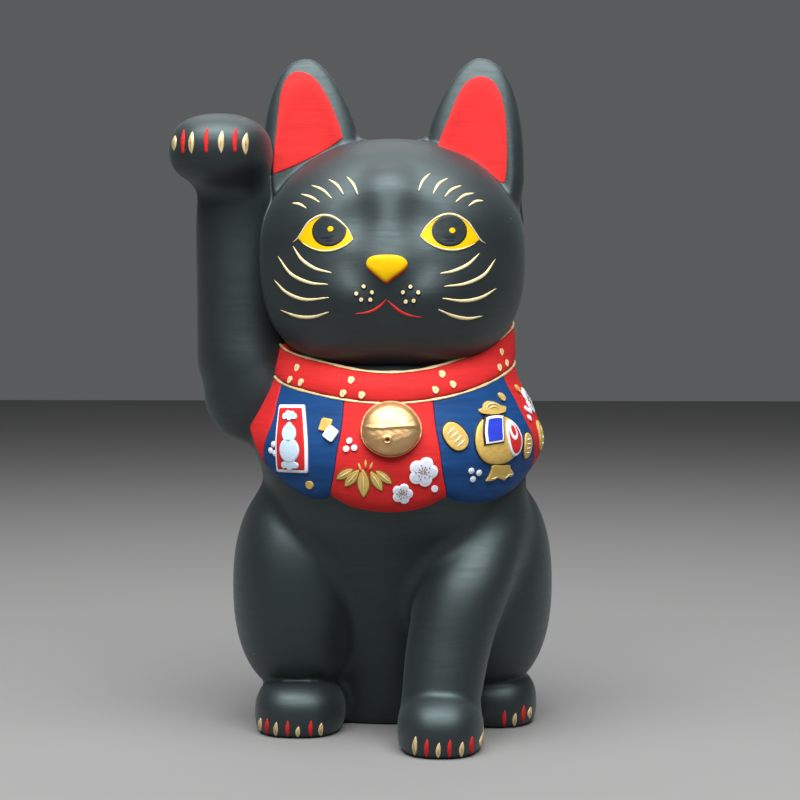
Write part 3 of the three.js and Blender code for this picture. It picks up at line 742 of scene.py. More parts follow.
def finish(name):
    """The named finish, made once: colour from brush marks and an uneven coat, rubbed rims, painted shade darkening the
    hollows, and specks, with roughness and a fine relief from the same marks and grain."""
    label = f"{name}_finish"
    if label in bpy.data.materials:
        return bpy.data.materials[label]
    colour_key, rough, metallic, spread, run, fineness, grain_deep, mark_deep, specks, rim, gloss = FINISHES[name]
    colour = np.array(getattr(bpy.context.scene.cat_colours, colour_key))
    groups = {key: bpy.data.node_groups.get(key) or make() for key, make in GROUP_MAKERS.items()}
    material = bpy.data.materials.new(label)
    material.use_nodes = True
    tree = material.node_tree
    shader = tree.nodes["Principled BSDF"]
    place = node(tree, "ShaderNodeTexCoord").outputs["Object"]

    def shared(key, **settings):
        return node(tree, "ShaderNodeGroup", {"node_tree": groups[key]}, {"Vector": place, **settings})

    def tone(share, lift=0.0):
        return (*np.clip(colour * share + lift, 0, 1), 1.0)

    marks = shared("Brush marks", Run=run, Fineness=fineness)
    clay, wear_and_shade = shared("Clay grain", Specks=specks), shared("Wear and hollow shade")
    base = blended(tree, marks.outputs["Mark"], tone(1 - spread), tone(1 + spread * 0.7))
    base = blended(tree, between(tree, marks.outputs["Coat"], 0, 1, 0.0, 0.5), base, tone(1 + spread * 0.35))
    # Painted shade: the hollows darkened towards 0.45 of the colour.
    base = blended(tree, between(tree, wear_and_shade.outputs["Hollow shade"], 0, 1, 0, 0.7), base, tone(0.45))
    base = blended(tree, between(tree, wear_and_shade.outputs["Rim"], 0, 1, 0, rim), base, tone(1.2, 0.08))
    base = blended(tree, clay.outputs["Speck"], base, tone(1.0, 0.3))
    tree.links.new(base, shader.inputs["Base Color"])
    tree.links.new(between(tree, marks.outputs["Mark"], 0, 1, rough + 0.05, rough - 0.05), shader.inputs["Roughness"])
    shader.inputs["Metallic"].default_value = metallic
    shader.inputs["Specular IOR Level"].default_value = gloss
    deep = reckon(tree, "MULTIPLY", marks.outputs["Mark"], mark_deep * MM)
    relief = reckon(tree, "MULTIPLY_ADD", clay.outputs["Grain"], grain_deep * MM, deep)
    bump = node(tree, "ShaderNodeBump", {}, {"Height": relief, "Strength": 1.0, "Distance": 1.0})
    tree.links.new(bump.outputs[0], shader.inputs["Normal"])
    if name == "black_pottery":
        shader.inputs["Sheen Weight"].default_value = 0.08
        shader.inputs["Sheen Roughness"].default_value = 0.5
        shader.inputs["Sheen Tint"].default_value = (0.75, 0.9, 0.88, 1.0)
        shader.inputs["Specular Tint"].default_value = (0.76, 0.95, 0.97, 1.0)
    return material


# ---- The pieces ----


def make_body(sizes):
    """Body, haunches, foreleg, feet, tail and raised arm as one wall of clay round its chamber."""
    points, squares = skin(body_field, (-102, -84, -3), (78, 86, 278), sizes.body_step / MM)
    nodes = ("body_casting", "raised_arm", "standing_foreleg", "right_hind_foot", "left_hind_foot", "tail")
    add("body_skin", [(points, [squares])], "black_pottery", nodes)


def arm_outside(x, y, z):
    """The raised forearm and its paw alone."""
    return meet(upright(x, y, z, FOREARM), lump(x, y, z, *PAW, 2.3), 8.0)


def make_arm_seam():
    """The bead of slip that lutes the arm to the head: a cord along the line where both surfaces are
    nil, found by sliding points in turn down one field and the other."""
    z = np.linspace(176, 247, 60)
    shapes = []
    for y in (-26.0, 14.0):
        line = np.stack([np.full(60, -57.0), np.full(60, y), z], axis=1)
        for _ in range(25):
            line = settle(head_field, settle(arm_outside, line, rounds=1), rounds=1)
            line[:, 2] = z
        line[1:-1] = (line[:-2] + 2 * line[1:-1] + line[2:]) / 4
        shapes.append(tube(line, 1.15))
    add("arm_seam", shapes, "black_pottery")


def tube(path, radius, sides=10):
    """A round cord along a path of points, thinning to its ends as a sine arch to the power 0.25."""
    way = np.gradient(path, axis=0)
    way /= np.linalg.norm(way, axis=1)[:, None]
    side = np.cross(way, (0.0, 1.0, 0.0))
    side /= np.linalg.norm(side, axis=1)[:, None]
    up = np.cross(side, way)
    turn = np.linspace(0, 2 * math.pi, sides, endpoint=False)
    thick = radius * np.sin(np.linspace(0.05, math.pi - 0.05, len(path))) ** 0.25
    round_it = side[:, None] * np.cos(turn)[:, None] + up[:, None] * np.sin(turn)[:, None]
    return capped(path[:, None] + round_it * thick[:, None, None], path[[0, -1]])


def make_head(sizes):
    """Head and ears as one skin."""
    points, squares = skin(head_field, (-63, -71, 153), (63, 50, 304), sizes.head_step / MM)
    add("head_skin", [(points, [squares])], "black_pottery", ("head_casting", "right_ear", "left_ear"))


EAR_LININGS = {
    "right": (
        (-53.0, 249.6), (-51.6, 268), (-49.9, 285.0), (-46.3, 292.4), (-41.7, 294.0), (-35.6, 291.3),
        (-29.8, 283.6), (-25.2, 273.4), (-22.6, 265.6), (-23.5, 262.6), (-35.1, 255.4), (-50.6, 248.6)
    ),
    "left": (
        (20.6, 261.0), (24.4, 270.8), (28.8, 281.8), (33.3, 289.0), (39.5, 291.4), (45.6, 288.2), (49.5, 278.4),
        (51.0, 262.1), (50.4, 245.7), (48.0, 244.0), (41.5, 249.6), (34.0, 254.6), (22.5, 258.9)
    ),
}
BROAD = (
    *((s, -0.5) for s in np.linspace(0.1, 0.9, 9)), (1, -0.5), (1, 0.5), (0.985, 0.85), (0.96, 1),
    *((s, 1) for s in np.linspace(0.9, 0.05, 16))
)


def make_ear_linings():
    """The red linings: patches of thick paint that follow each ear's hollow."""
    place = facing(head_field)
    for side, corners in EAR_LININGS.items():
        outline = closed_curve(corners[::-1], 120)
        shape = button(place, outline, 0.35, BROAD, outline.mean(axis=0))
        add(f"{side}_ear_lining", [shape], "red_paint")


EYES = {
    "right": {"outer": (-39.2, 218.2), "inner": (-14.9, 217.3), "disc": (-25.3, 220.9), "dot": (-24.6, 221.6)},
    "left": {"outer": (38.6, 217.6), "inner": (13.4, 218.6), "disc": (25.7, 220.8), "dot": (26.8, 220.9)},
}


def lid(start, end, rise, count=30, power=0.74):
    """A lid's line between two corners: the straight line, raised by rise times sin(pi t)^power."""
    t = np.linspace(0, 1, count)
    line = np.array(start) * (1 - t)[:, None] + np.array(end) * t[:, None]
    line[:, 1] += rise * np.sin(math.pi * t) ** power
    return line


def make_eyes():
    """Each eye: yellow almond, dark disc with its black edge and dents, yellow dot and pale lids."""
    place = facing(head_field)
    for side, eye in EYES.items():
        corners = (eye["outer"], eye["inner"]) if side == "right" else (eye["inner"], eye["outer"])
        over, under = lid(*corners, 9.7), lid(*corners, -5.2)
        almond = np.concatenate([under[:-1], over[::-1][:-1]])
        middle = np.array(eye["disc"])
        edge, disc = middle + oval(7.55, 6.75, 64), middle + oval(7.1, 6.3, 64)
        for line, inside in ((edge, 0.1), (disc, 0.6)):
            roof = np.interp(line[:, 0], over[:, 0], over[:, 1])
            line[:, 1] = np.minimum(line[:, 1], roof - inside)
        dot = np.array(eye["dot"]) + oval(1.25, 1.2, 24)
        name = f"{side}_eye"
        add(f"{name}_white", [button(place, almond, 0.3, BROAD, middle)], "yellow_paint")
        add(f"{name}_edge", [button(place, edge, 0.42, BROAD, middle)], "line_black")
        add(f"{name}_disc", [button(dented(place, middle), disc, 0.5, BROAD, middle)], "iris_grey")
        add(f"{name}_dot", [button(place, dot, 0.8, RAISED, eye["dot"])], "yellow_paint")
        away = np.array(eye["outer"]) - np.array(eye["inner"])
        tail = np.array(eye["outer"]) + np.array([2.6 * np.sign(away[0]), -1.9])
        upper = lid(eye["inner"], eye["outer"], 9.9)[::3]
        lids = [
            stroke(place, np.concatenate([upper[:-1], [eye["outer"], tail]]), 0.62, 0.8, (0.5, 0.2), 60),
            stroke(place, lid(eye["inner"], eye["outer"], -5.4)[::3], 0.45, 0.7, (0.6, 0.5), 50),
        ]
        add(f"{name}_lids", lids, "cream_line")


def dented(place, middle):
    """A place with three shallow thumbnail dents low in the disc: the height falls by 0.3 mm over
    small flat ovals."""
    dents = ((-1.6, -3.2, 1.5), (1.5, -3.0, 1.3), (0.2, -4.4, 1.7))

    def sunk(x, z, height):
        fall = sum(
            np.exp(-(((x - middle[0] - a) / wide) ** 2) - ((z - middle[1] - b) / 0.35) ** 2) for a, b, wide in dents
        )
        return place(x, z, height - 0.3 * fall * (np.asarray(height) > 0))

    return sunk


NOSE = (
    (-9.0, 206.4), (-8.2, 208.9), (-5.2, 210.1), (-0.8, 210.4), (3.6, 210.2), (6.8, 209.0), (8.2, 206.6),
    (6.6, 204.2), (2.6, 201.3), (-0.8, 199.2), (-4.3, 201.6), (-7.9, 204.6)
)
WHISKER_DOTS = {
    "right": ((-10.1, 197.2), (-6.7, 194.8), (-13.2, 194.2), (-11.2, 191.7), (-7.4, 191.7)),
    "left": ((9.5, 197.1), (12.8, 194.7), (6.4, 194.8), (7.6, 190.9), (10.9, 191.3)),
}
MOUTH = {
    "right": ((-0.6, 191.9), (-2.6, 189.7), (-5.4, 187.6), (-8.9, 186.3), (-14.0, 185.8)),
    "left": ((-0.2, 191.5), (2.1, 189.2), (5.0, 186.9), (9.0, 185.1), (14.8, 184.2)),
}


def make_nose_and_mouth():
    """The nose's yellow cushion over its red lower edge, the dots of the whisker pads and the mouth."""
    place = facing(head_field)
    outline = closed_curve(NOSE[::-1], 96)
    middle = (-0.6, 206.0)
    cushion = ((1, -0.4), (1, 0.25), (0.97, 0.55), (0.91, 0.8), (0.8, 0.94), (0.6, 1), (0.35, 1.02), (0.1, 1.02))
    add("nose_cushion", [button(place, outline, 1.7, cushion, middle)], "yellow_paint", ("nose",))
    low = outline + np.array([0.15, -0.75])
    add("nose_lower_edge", [button(place, low, 0.8, cushion, middle)], "lip_red")
    spots = [spot for row in WHISKER_DOTS.values() for spot in row]
    rings = [button(place, np.array(spot) + oval(1.25, 1.25, 20), 0.3, RAISED, spot) for spot in spots]
    dots = [button(place, np.array(spot) + oval(0.85, 0.85, 20), 0.75, RAISED, spot) for spot in spots]
    add("whisker_dot_rings", rings, "line_black")
    add("whisker_dots", dots, "cream_line")
    lips = [stroke(place, path, 0.62, 0.4, (0.45, 0.12), 40) for path in MOUTH.values()]
    add("mouth_line", lips, "lip_red")


BROWS = (
    ((-42.4, 233.5), (-39, 232.9), (-35.7, 231.0)), ((-38.6, 237.4), (-34, 235.9), (-29.8, 233.4)),
    ((-34.0, 241.2), (-28.8, 238.9), (-24.4, 234.9)), ((-26.4, 243.6), (-22.4, 240.8), (-19.4, 236.7)),
    ((-18.4, 244.6), (-15.3, 241.0), (-13.2, 236.4)), ((17.5, 246.0), (14.5, 242.6), (12.6, 238.0)),
    ((25.1, 244.0), (21.2, 241.2), (18.7, 236.8)), ((31.0, 240.8), (26.8, 238.9), (23.7, 235.6)),
    ((36.5, 237.6), (32, 236.4), (28.4, 233.4)), ((40.4, 234.3), (37, 233.9), (33.9, 231.8)),
)
WHISKERS = (
    ((-41.5, 214.8), (-37.4, 209.0), (-31.3, 205.0), (-24.0, 203.1)),
    ((-48.6, 210.6), (-42.4, 202.9), (-33.9, 199.0), (-25.6, 198.2)),
    ((-50.5, 200.4), (-44.4, 194.8), (-35.8, 191.8), (-25.1, 192.6)),
    ((-47.7, 187.3), (-39.5, 184.6), (-32.2, 184.4), (-25.2, 186.5)),
    ((38.7, 211.6), (33.9, 206.9), (28.0, 204.0), (22.0, 202.8)),
    ((45.5, 209.2), (40.6, 202.4), (32.9, 198.6), (23.7, 197.3)),
    ((46.0, 196.7), (39.4, 192.7), (31.6, 191.2), (23.0, 192.3)),
    ((40.1, 184.8), (33.9, 183.7), (27.6, 184.8), (21.3, 187.6)),
)


def make_brows_and_whiskers():
    """Brush strokes that swell from a point at the outer end and stop blunt at the inner one."""
    place = facing(head_field)
    brows = [stroke(place, path, 0.62, 0.4, (0.12, 0.5), 24) for path in BROWS]
    whiskers = [stroke(place, path, 0.72, 0.4, (0.1, 0.55), 44) for path in WHISKERS]
    add("brows", brows, "cream_line")
    add("whiskers", whiskers, "cream_line")


# Each claw: x, its upper and its lower end. Gold ones are pointed at both ends, red ones blunt below.
CLAWS = {
    "right_hind_foot": {
        "gold": ((-57.6, 8.0, 2.4), (-50.0, 7.4, 1.3), (-40.2, 5.8, 0.9), (-30.3, 6.9, 1.2)),
        "red": ((-54.1, 8.6, 1.3), (-44.7, 8.4, 1.0), (-34.6, 8.4, 1.0)),
    },
    "front_foot": {
        "gold": ((11.7, 9.6, 2.0), (21.6, 7.6, 0.9), (31.3, 7.5, 1.0), (39.8, 8.0, 2.6)),
        "red": ((16.7, 9.2, 0.9), (26.3, 8.8, 0.9), (35.5, 9.2, 1.0)),
    },
    "left_hind_foot": {"gold": ((55.0, 7.2, 1.6), (62.0, 8.6, 4.2)), "red": ((50.3, 8.7, 1.2), (59.0, 10.2, 2.8))},
    "paw": {
        "gold": ((-93.8, 263.0, 256.2), (-85.4, 264.0, 254.4), (-72.3, 264.3, 254.6), (-62.2, 263.7, 254.0)),
        "red": ((-89.3, 265.3, 254.6), (-78.7, 265.9, 254.6), (-66.5, 265.8, 255.0)),
    },
}


def make_claws():
    """The claws: upright touches of gold and red on the toes and the paw."""
    place = facing(body_outside)
    for foot, kinds in CLAWS.items():
        for kind, claws in kinds.items():
            half, ends = (1.4, (0.06, 0.1)) if kind == "gold" else (1.1, (0.15, 0.75))
            if foot != "paw":
                half = half * (0.78 if kind == "gold" else 0.9)
                ends = (0.06, 0.3)
            strokes, veins = [], []
            for x, top, low in claws:
                low = low if foot == "paw" else max(low - 1.2, 0.5)
                lean = 0.5 if kind == "gold" else 0.3
                path = ((x + lean, top), (x, (top + low) / 2), (x + (0.1 if foot == "paw" else 0), low))
                strokes.append(stroke(place, path, half, 0.4, ends, 22))
                veins.append(stroke(place, ((x, top - 2.0), (x, low + 1.4)), 0.22, 0.55, (0.2, 0.4), 12, 6))
            add(f"{foot}_{kind}_claws", strokes, "gold_line" if kind == "gold" else "red_paint")
            if kind == "gold":
                add(f"{foot}_claw_veins", veins, "brown_line", slot="gold_leaf")


# ---- Collar and bib ----


BAND_TOP, BAND_LOW, BAND_RISE = 161.0, 148.0, 28
FLECK_LIFT = 5.1


def dip(angle):
    """How far the collar's upper line hangs lower beside the raised arm."""
    return 4.0 * np.exp(-(((np.degrees(angle) + 60) / 22) ** 2))


def band_top(angle):
    """The collar's upper line: 28 (1 - exp(-1.25 (1 - cos angle))) above its lowest point in front."""
    return BAND_TOP + BAND_RISE * (1 - np.exp(-1.25 * (1 - np.cos(angle)))) - dip(angle)


def band_low(angle):
    """The collar's lower line, rising eight tenths as far as the upper one."""
    return BAND_LOW + 0.8 * (band_top(angle) - BAND_TOP + dip(angle)) - 0.55 * dip(angle)


BAND_SECTION = (
    (0.02, 0.4), (0.0, 1.6), (0.01, 3.2), (0.06, 4.5), (0.14, 4.9), (0.3, 5.2), (0.5, 5.3), (0.7, 5.2), (0.86, 4.9),
    (0.94, 4.5), (0.99, 3.2), (1.0, 1.6), (0.98, 0.4)
)
FLECKS = (
    (-46.5, 162.4), (-49.7, 157.2), (-41.8, 156.3), (-16.2, 157.7), (-18.9, 152.1), (-10.8, 151.5), (23.9, 160.2),
    (19.9, 153.6), (28.4, 155.8), (61.5, 168.9), (58.6, 162.3), (66.5, 164.0), (100, 176.5), (96.5, 171), (104, 172.5),
    (140, 182), (136.5, 176.5), (144, 178), (-100, 176.5), (-96.5, 171), (-104, 172.5), (-140, 182), (-136.5, 176.5),
    (-144, 178)
)


def make_collar():
    """The collar: a rounded band carried round the neck, a gold cord along both its edges and the
    gold flecks in threes."""
    angle = np.linspace(-math.pi, math.pi, 300, endpoint=False)[:, None]
    share, lift = np.array(BAND_SECTION).T
    z = band_low(angle) + share * (band_top(angle) - band_low(angle))
    add("collar_cloth", [hoop(on_trunk(angle, z, lift))], "red_paint", ("collar_band",))
    turn = np.linspace(0, 2 * math.pi, 12, endpoint=False)
    cords = []
    for line in (band_top, band_low):
        thick = 0.5 + 0.08 * np.sin(17 * angle + 1.3) + 0.06 * np.sin(41 * angle)
        cords.append(hoop(on_trunk(angle, line(angle) + thick * np.sin(turn), 4.5 + thick * np.cos(turn))))
    add("collar_cords", cords, "gold_line")
    flecks = [button(on_bib(a, z, 0, FLECK_LIFT), oval(1.45, 1.55, 20, wobble=0.08), 0.5) for a, z in FLECKS]
    hearts = [button(on_bib(a, z, 0, FLECK_LIFT), oval(0.42, 0.5, 12), 0.62) for a, z in FLECKS]
    add("collar_flecks", flecks, "cream_line")
    add("collar_fleck_hearts", hearts, "ochre_gold_slip")


low_edge = through(
    (-118, 147), (-100, 142), (-80, 136), (-65.6, 128.9), (-61.1, 123.5), (-57.7, 118.9), (-52, 114.6), (-46.5, 111.4),
    (-36, 107.4), (-28.5, 106.5), (-23.8, 108.0), (-15.4, 104), (-5.6, 102.1), (0.8, 101.6), (8.8, 102.3), (17, 104.6),
    (23.9, 107.7), (29.2, 105.8), (36.7, 104.7), (47.9, 104.9), (61.4, 108.6), (74, 113.9), (84, 119), (100, 130),
    (118, 143)
)
SEAMS = (
    through((100, -118), (160, -118)),
    through((104, -63), (112, -60), (123.5, -56), (139, -51.8), (157, -57.3)),
    through((101, -24.4), (108, -23.6), (121, -20), (136, -17.6), (150, -18.3)),
    through((101, 24.4), (108, 23.8), (121, 20.5), (136, 18.2), (150, 18.3)),
    through((104, 84), (114, 76), (122, 72.5), (129.4, 69), (140.6, 65), (157, 62.6)),
    through((100, 118), (160, 118)),
)
BIB_PANELS = (
    ("bib_right_side_cloth", "bib_right_side_panel", "red_paint"),
    ("bib_right_blue_cloth", "bib_right_blue_panel", "blue_paint"),
    ("bib_centre_cloth", "bib_centre_panel", "red_paint"),
    ("bib_left_blue_cloth", "bib_left_blue_panel", "blue_paint"),
    ("bib_left_side_cloth", "bib_left_side_panel", "red_paint"),
)


def rounded_by(distance, reach, fall):
    """How far a rounded edge has fallen at a distance inside it: fall (1 - sqrt(1 - (1 - d/reach)^2))
    within its reach, and nothing past it."""
    near = 1 - np.clip(distance / reach, 0, 1)
    return fall * (1 - np.sqrt(np.maximum(1 - near**2, 0)))


def spaced(length, first, step):
    """Places from 0 to length, close together near both ends."""
    count = max(int(length / step), 4)
    inner = np.linspace(first[-1], length - first[-1], count)
    return np.concatenate([first[:-1], inner, length - np.array(first[:-1])[::-1]]) / length


def make_bib():
    """The bib's five panels, each a plate bent onto the trunk between two seams. Across it runs from
    seam to seam, up it from the low edge to the collar; seams are narrow grooves, the low edge rolls in."""
    for i, (name, cad_node, paint) in enumerate(BIB_PANELS):
        width = math.radians(float(SEAMS[i + 1](130.0) - SEAMS[i](130.0))) * 66
        s = spaced(width, (0, 0.12, 0.3, 0.55, 0.9), 1.1)[:, None]
        t = spaced(44, (0, 0.15, 0.45, 0.9, 1.6, 2.4, 3.4, 4.6, 5.8), 1.1)[None]
        z = np.full((s.shape[0], t.shape[1]), 128.0)
        for _ in range(12):
            degrees = SEAMS[i](z) + (SEAMS[i + 1](z) - SEAMS[i](z)) * s
            angle = np.radians(degrees)
            low, high = low_edge(degrees), band_low(angle) + 0.3
            z = low + (high - low) * t
        across = np.minimum(s, 1 - s) * width
        lift = BIB_LIFT - rounded_by(across, 0.7, 0.9) - rounded_by(z - low, 5.5, 3.3)
        outer = on_trunk(angle, z, np.maximum(lift, 0.5))
        inner = on_trunk(angle, z, np.full(z.shape, 0.2))
        add(name, [slab(outer, inner)], paint, (cad_node,))


# ---- Ornaments on the bib ----


def make_bell():
    """The bell: a flattened dome in a thick uneven rim, its profile of (share of the radius, height)
    carried round, with a level ridge across it and a small ringed hole below the ridge."""
    at = on_bib(1.2, 137.6)
    rim = [(1.0, -0.5), (1.0, 1.0), (0.997, 1.7), (0.985, 2.15), (0.968, 2.3), (0.952, 2.2), (0.94, 2.1)]
    dome = [(s, 2.1 + 5.3 * math.sqrt(1 - (s / 0.94) ** 2.1)) for s in 0.938 * np.cos(np.linspace(0.03, 1.55, 64))]

    def hammered(u, v, height):
        r = np.sqrt((u / 12.8) ** 2 + (v / 11.7) ** 2)
        inside = np.clip((0.92 - r) / 0.12, 0, 1)
        ridge = 0.45 * np.exp(-(((v - 1.1 - 0.35 * np.sin(u / 4)) / 0.7) ** 2)) + 0.3 / (1 + np.exp(-(v - 1.1) / 0.6))
        away = np.sqrt((u + 1.2) ** 2 + (v + 4.2) ** 2)
        hole = 0.55 * np.exp(-(((away - 1.25) / 0.4) ** 2)) - 1.6 * np.exp(-((away / 0.62) ** 2))
        beaten = 0.05 * np.sin(1.3 * u + 2 * np.sin(0.9 * v)) * np.cos(1.1 * v + 0.4 * u)
        return at(u, v, height + (ridge + hole) * inside + beaten * (np.asarray(height) > 1))

    outline = oval(12.8, 11.7, 160, 2.0, 0.012)
    shape = button(hammered, outline, 1.0, rim + dome)
    add("bell_dome", [shape], "gold_leaf", ("bell",))


def rounded_square(a, b, corner=8.0, count=48):
    """A rectangle's outline with small round corners: an oval of a high power."""
    return oval(a, b, count, corner)


FLAT = ((1, -0.5), (1, 0.6), (0.985, 0.88), (0.955, 1.0), (0.85, 1.0), (0.6, 1.0), (0.3, 1.0))


def make_plaque_and_chips():
    """The plaque: a white board, its red field and a pale gourd between clouds, each laid on the one
    below; beside it a gold chip under a pale one."""
    board = on_bib(-38.4, 132.2, 1.5, upright_lines=True)
    outline = rounded_square(9.0, 14.4, 40, 160)
    outline[:, 0] *= 1 - 0.05 * outline[:, 1] / 14.4
    add("plaque_board", [button(board, outline, 0.9, FLAT)], "white_slip", ("plaque",))
    add("plaque_field", [button(board, outline * (0.87, 0.92), 1.15, FLAT)], "red_paint")
    gourd = lobes([(0, -4.2, 5.4), (0, 3.2, 3.9), (0, 6.4, 1.5)], 140)
    low_cloud = lobes([(-3.4, 0, 1.5), (-1.2, 0.6, 1.9), (1.5, 0.5, 2.0), (3.7, 0, 1.4), (0, -0.3, 1.9)], 80)
    high_cloud = lobes([(-3.0, 0, 1.4), (-0.9, 0.7, 1.8), (1.6, 0.6, 1.7), (3.3, 0, 1.3), (0, -0.2, 1.6)], 80)
    parts = [
        button(board, gourd + (0, -0.6), 1.75, BROAD, (0, -0.6)),
        button(board, low_cloud + (0, -11.2), 1.7, RAISED, (0, -11.2)),
        button(board, high_cloud + (0, 9.6), 1.7, RAISED, (0, 9.6)),
    ]
    add("plaque_gourd", parts, "pale_blue_slip")
    waist = [stroke(board, ((-3.0, 0.3), (0, -0.4), (3.0, 0.3)), 0.3, 2.0, (0.5, 0.5), 16)]
    add("plaque_gourd_tie", waist, "lip_red")
    gold = on_bib(-23.9, 138.8, -8)
    pale = on_bib(-21.2, 135.2, -32)
    add("gold_chip_tile", [button(gold, rounded_square(2.65, 2.65), 0.8, FLAT)], "ochre_gold_slip", ("gold_chip",))
    add("white_chip_tile", [button(pale, rounded_square(2.75, 2.75), 1.3, FLAT)], "white_slip", ("white_chip",))
    inner = [button(pale, rounded_square(1.75, 1.75), 1.45, FLAT)]
    add("white_chip_field", inner, "pale_blue_slip")


LEAVES = (
    ("bamboo_middle_leaf", -9.1, 114.5, 11.8, 4.9, 0), ("bamboo_right_inner_leaf", -13.5, 116.5, 9.6, 3.7, -43),
    ("bamboo_right_outer_leaf", -16.2, 118.2, 8.6, 3.1, -61), ("bamboo_left_inner_leaf", -4.1, 115.5, 9.3, 3.7, 29),
    ("bamboo_left_outer_leaf", -1.3, 117.2, 8.4, 3.1, 50)
)
BUDS = ((-10.2, 121.5, 17), (-7.9, 122.8, 0), (-5.9, 122.0, -24))


def make_bamboo():
    """Five leaves, each with its dark edge and pale rib, and three buds standing over them."""
    edges, blades, ribs = [], [], []
    for name, angle, z, length, width, turn in LEAVES:
        place = on_bib(angle, z, turn)
        edges.append(button(place, leaf(length + 1.0, width + 1.1), 0.3))
        blades.append(button(place, leaf(length, width), 0.55))
        ribs.append(stroke(place, ((0, length * 0.4), (0.1, 0), (0, -length * 0.42)), 0.4, 1.0, (0.5, 0.2), 18))
        for side in (-1, 1):
            path = ((side * 0.2, length * 0.3), (side * width * 0.26, 0), (side * 0.2, -length * 0.32))
            ribs.append(stroke(place, path, 0.1, 0.72, (0.3, 0.2), 14, 6))
    add("bamboo_leaf_edges", edges, "brown_line")
    nodes = tuple(row[0] for row in LEAVES)
    add("bamboo_leaves", blades, "ochre_gold_slip", nodes)
    add("bamboo_ribs", ribs, "cream_line")
    buds = [stroke(on_bib(a, z, turn), ((0, 1.7), (0, -1.7)), 0.6, 0.55, (0.5, 0.3), 16) for a, z, turn in BUDS]
    add("bamboo_buds", buds, "ochre_gold_slip")
    feet = [stroke(on_bib(a, z, turn), ((0, -1.0), (0, -2.3)), 0.5, 0.75, (0.4, 0.5), 12) for a, z, turn in BUDS]
    add("bamboo_bud_feet", feet, "lip_red")


PETAL_TURN = 73


def petals(radius):
    """Five round petals: circles of 0.47 of the radius standing 0.55 of it from the middle."""
    ways = np.radians(PETAL_TURN + 72 * np.arange(5))
    circles = [(0.55 * radius * math.cos(w), 0.55 * radius * math.sin(w), 0.47 * radius) for w in ways]
    return lobes(circles + [(0, 0, 0.4 * radius)], 120)


BLOSSOMS = (
    ("plum_blossom_large", 13.2, 119.3, 6.3), ("plum_blossom_small", 5.6, 110.1, 4.4),
    ("plum_blossom_side", 78.5, 147.2, 5.6)
)


def make_blossoms():
    """Plum blossoms: white petals with a pale blue heart to each over a darker red painted shadow ring, and gold
    stamens tipped with dots.
    """
    for name, angle, z, radius in BLOSSOMS:
        place = on_bib(angle, z)
        # Painted shadow: a darker red ring a little larger than the petals, laid under them.
        shadow = button(place, petals(radius) * 1.05, 0.3)
        white = button(place, petals(radius), 0.85, FLAT)
        ways = np.radians(PETAL_TURN + 72 * np.arange(5))
        hearts = []
        for w in ways:
            spot = 0.52 * radius * np.array([math.cos(w), math.sin(w)])
            hearts.append(button(place, spot + oval(0.33 * radius, 0.33 * radius, 20), 0.98, RAISED, spot))
        stamens = []
        for k in range(10):
            w = math.radians(PETAL_TURN + 36 * k)
            reach = radius * (0.5 if k % 2 else 0.36)
            tip = reach * np.array([math.cos(w), math.sin(w)])
            stamens.append(stroke(place, ((0, 0), tip * 0.5, tip), 0.13 + radius * 0.008, 1.25, (0.7, 0.6), 10, 6))
            stamens.append(button(place, tip + oval(0.27, 0.27, 10), 1.3, RAISED, tip))
        nodes = (name,) if name != "plum_blossom_side" else ()
        # The piece named _edge is the painted shadow ring round the petals.
        add(f"{name}_edge", [shadow], "lip_red")
        add(f"{name}_petals", [white], "white_slip", nodes)
        add(f"{name}_hearts", hearts, "petal_shade")
        add(f"{name}_stamens", stamens, "brown_line")


def make_coins():
    """The old oval coins: an ochre gold plate in a dark edge, with four white strokes across it."""
    for name, angle, z, a, b, turn in (
        ("gold_coin", 25.2, 134.0, 6.4, 4.9, -51), ("side_gold_coin", 62.3, 128.2, 5.6, 3.5, -88)
    ):
        place = on_bib(angle, z, turn)
        add(f"{name}_edge", [button(place, oval(a + 0.55, b + 0.55, 60, 2.2), 0.3)], "line_black")
        plate = button(place, oval(a, b, 60, 2.2), 0.9, FLAT)
        add(f"{name}_plate", [plate], "ochre_gold_slip", (name,))
        bars = [
            stroke(place, ((u, -b * 0.55), (u + 0.15, 0), (u, b * 0.55)), 0.42, 1.3, (0.8, 0.7), 14)
            for u in np.linspace(-0.52, 0.52, 4) * a
        ]
        add(f"{name}_bars", bars, "white_slip")


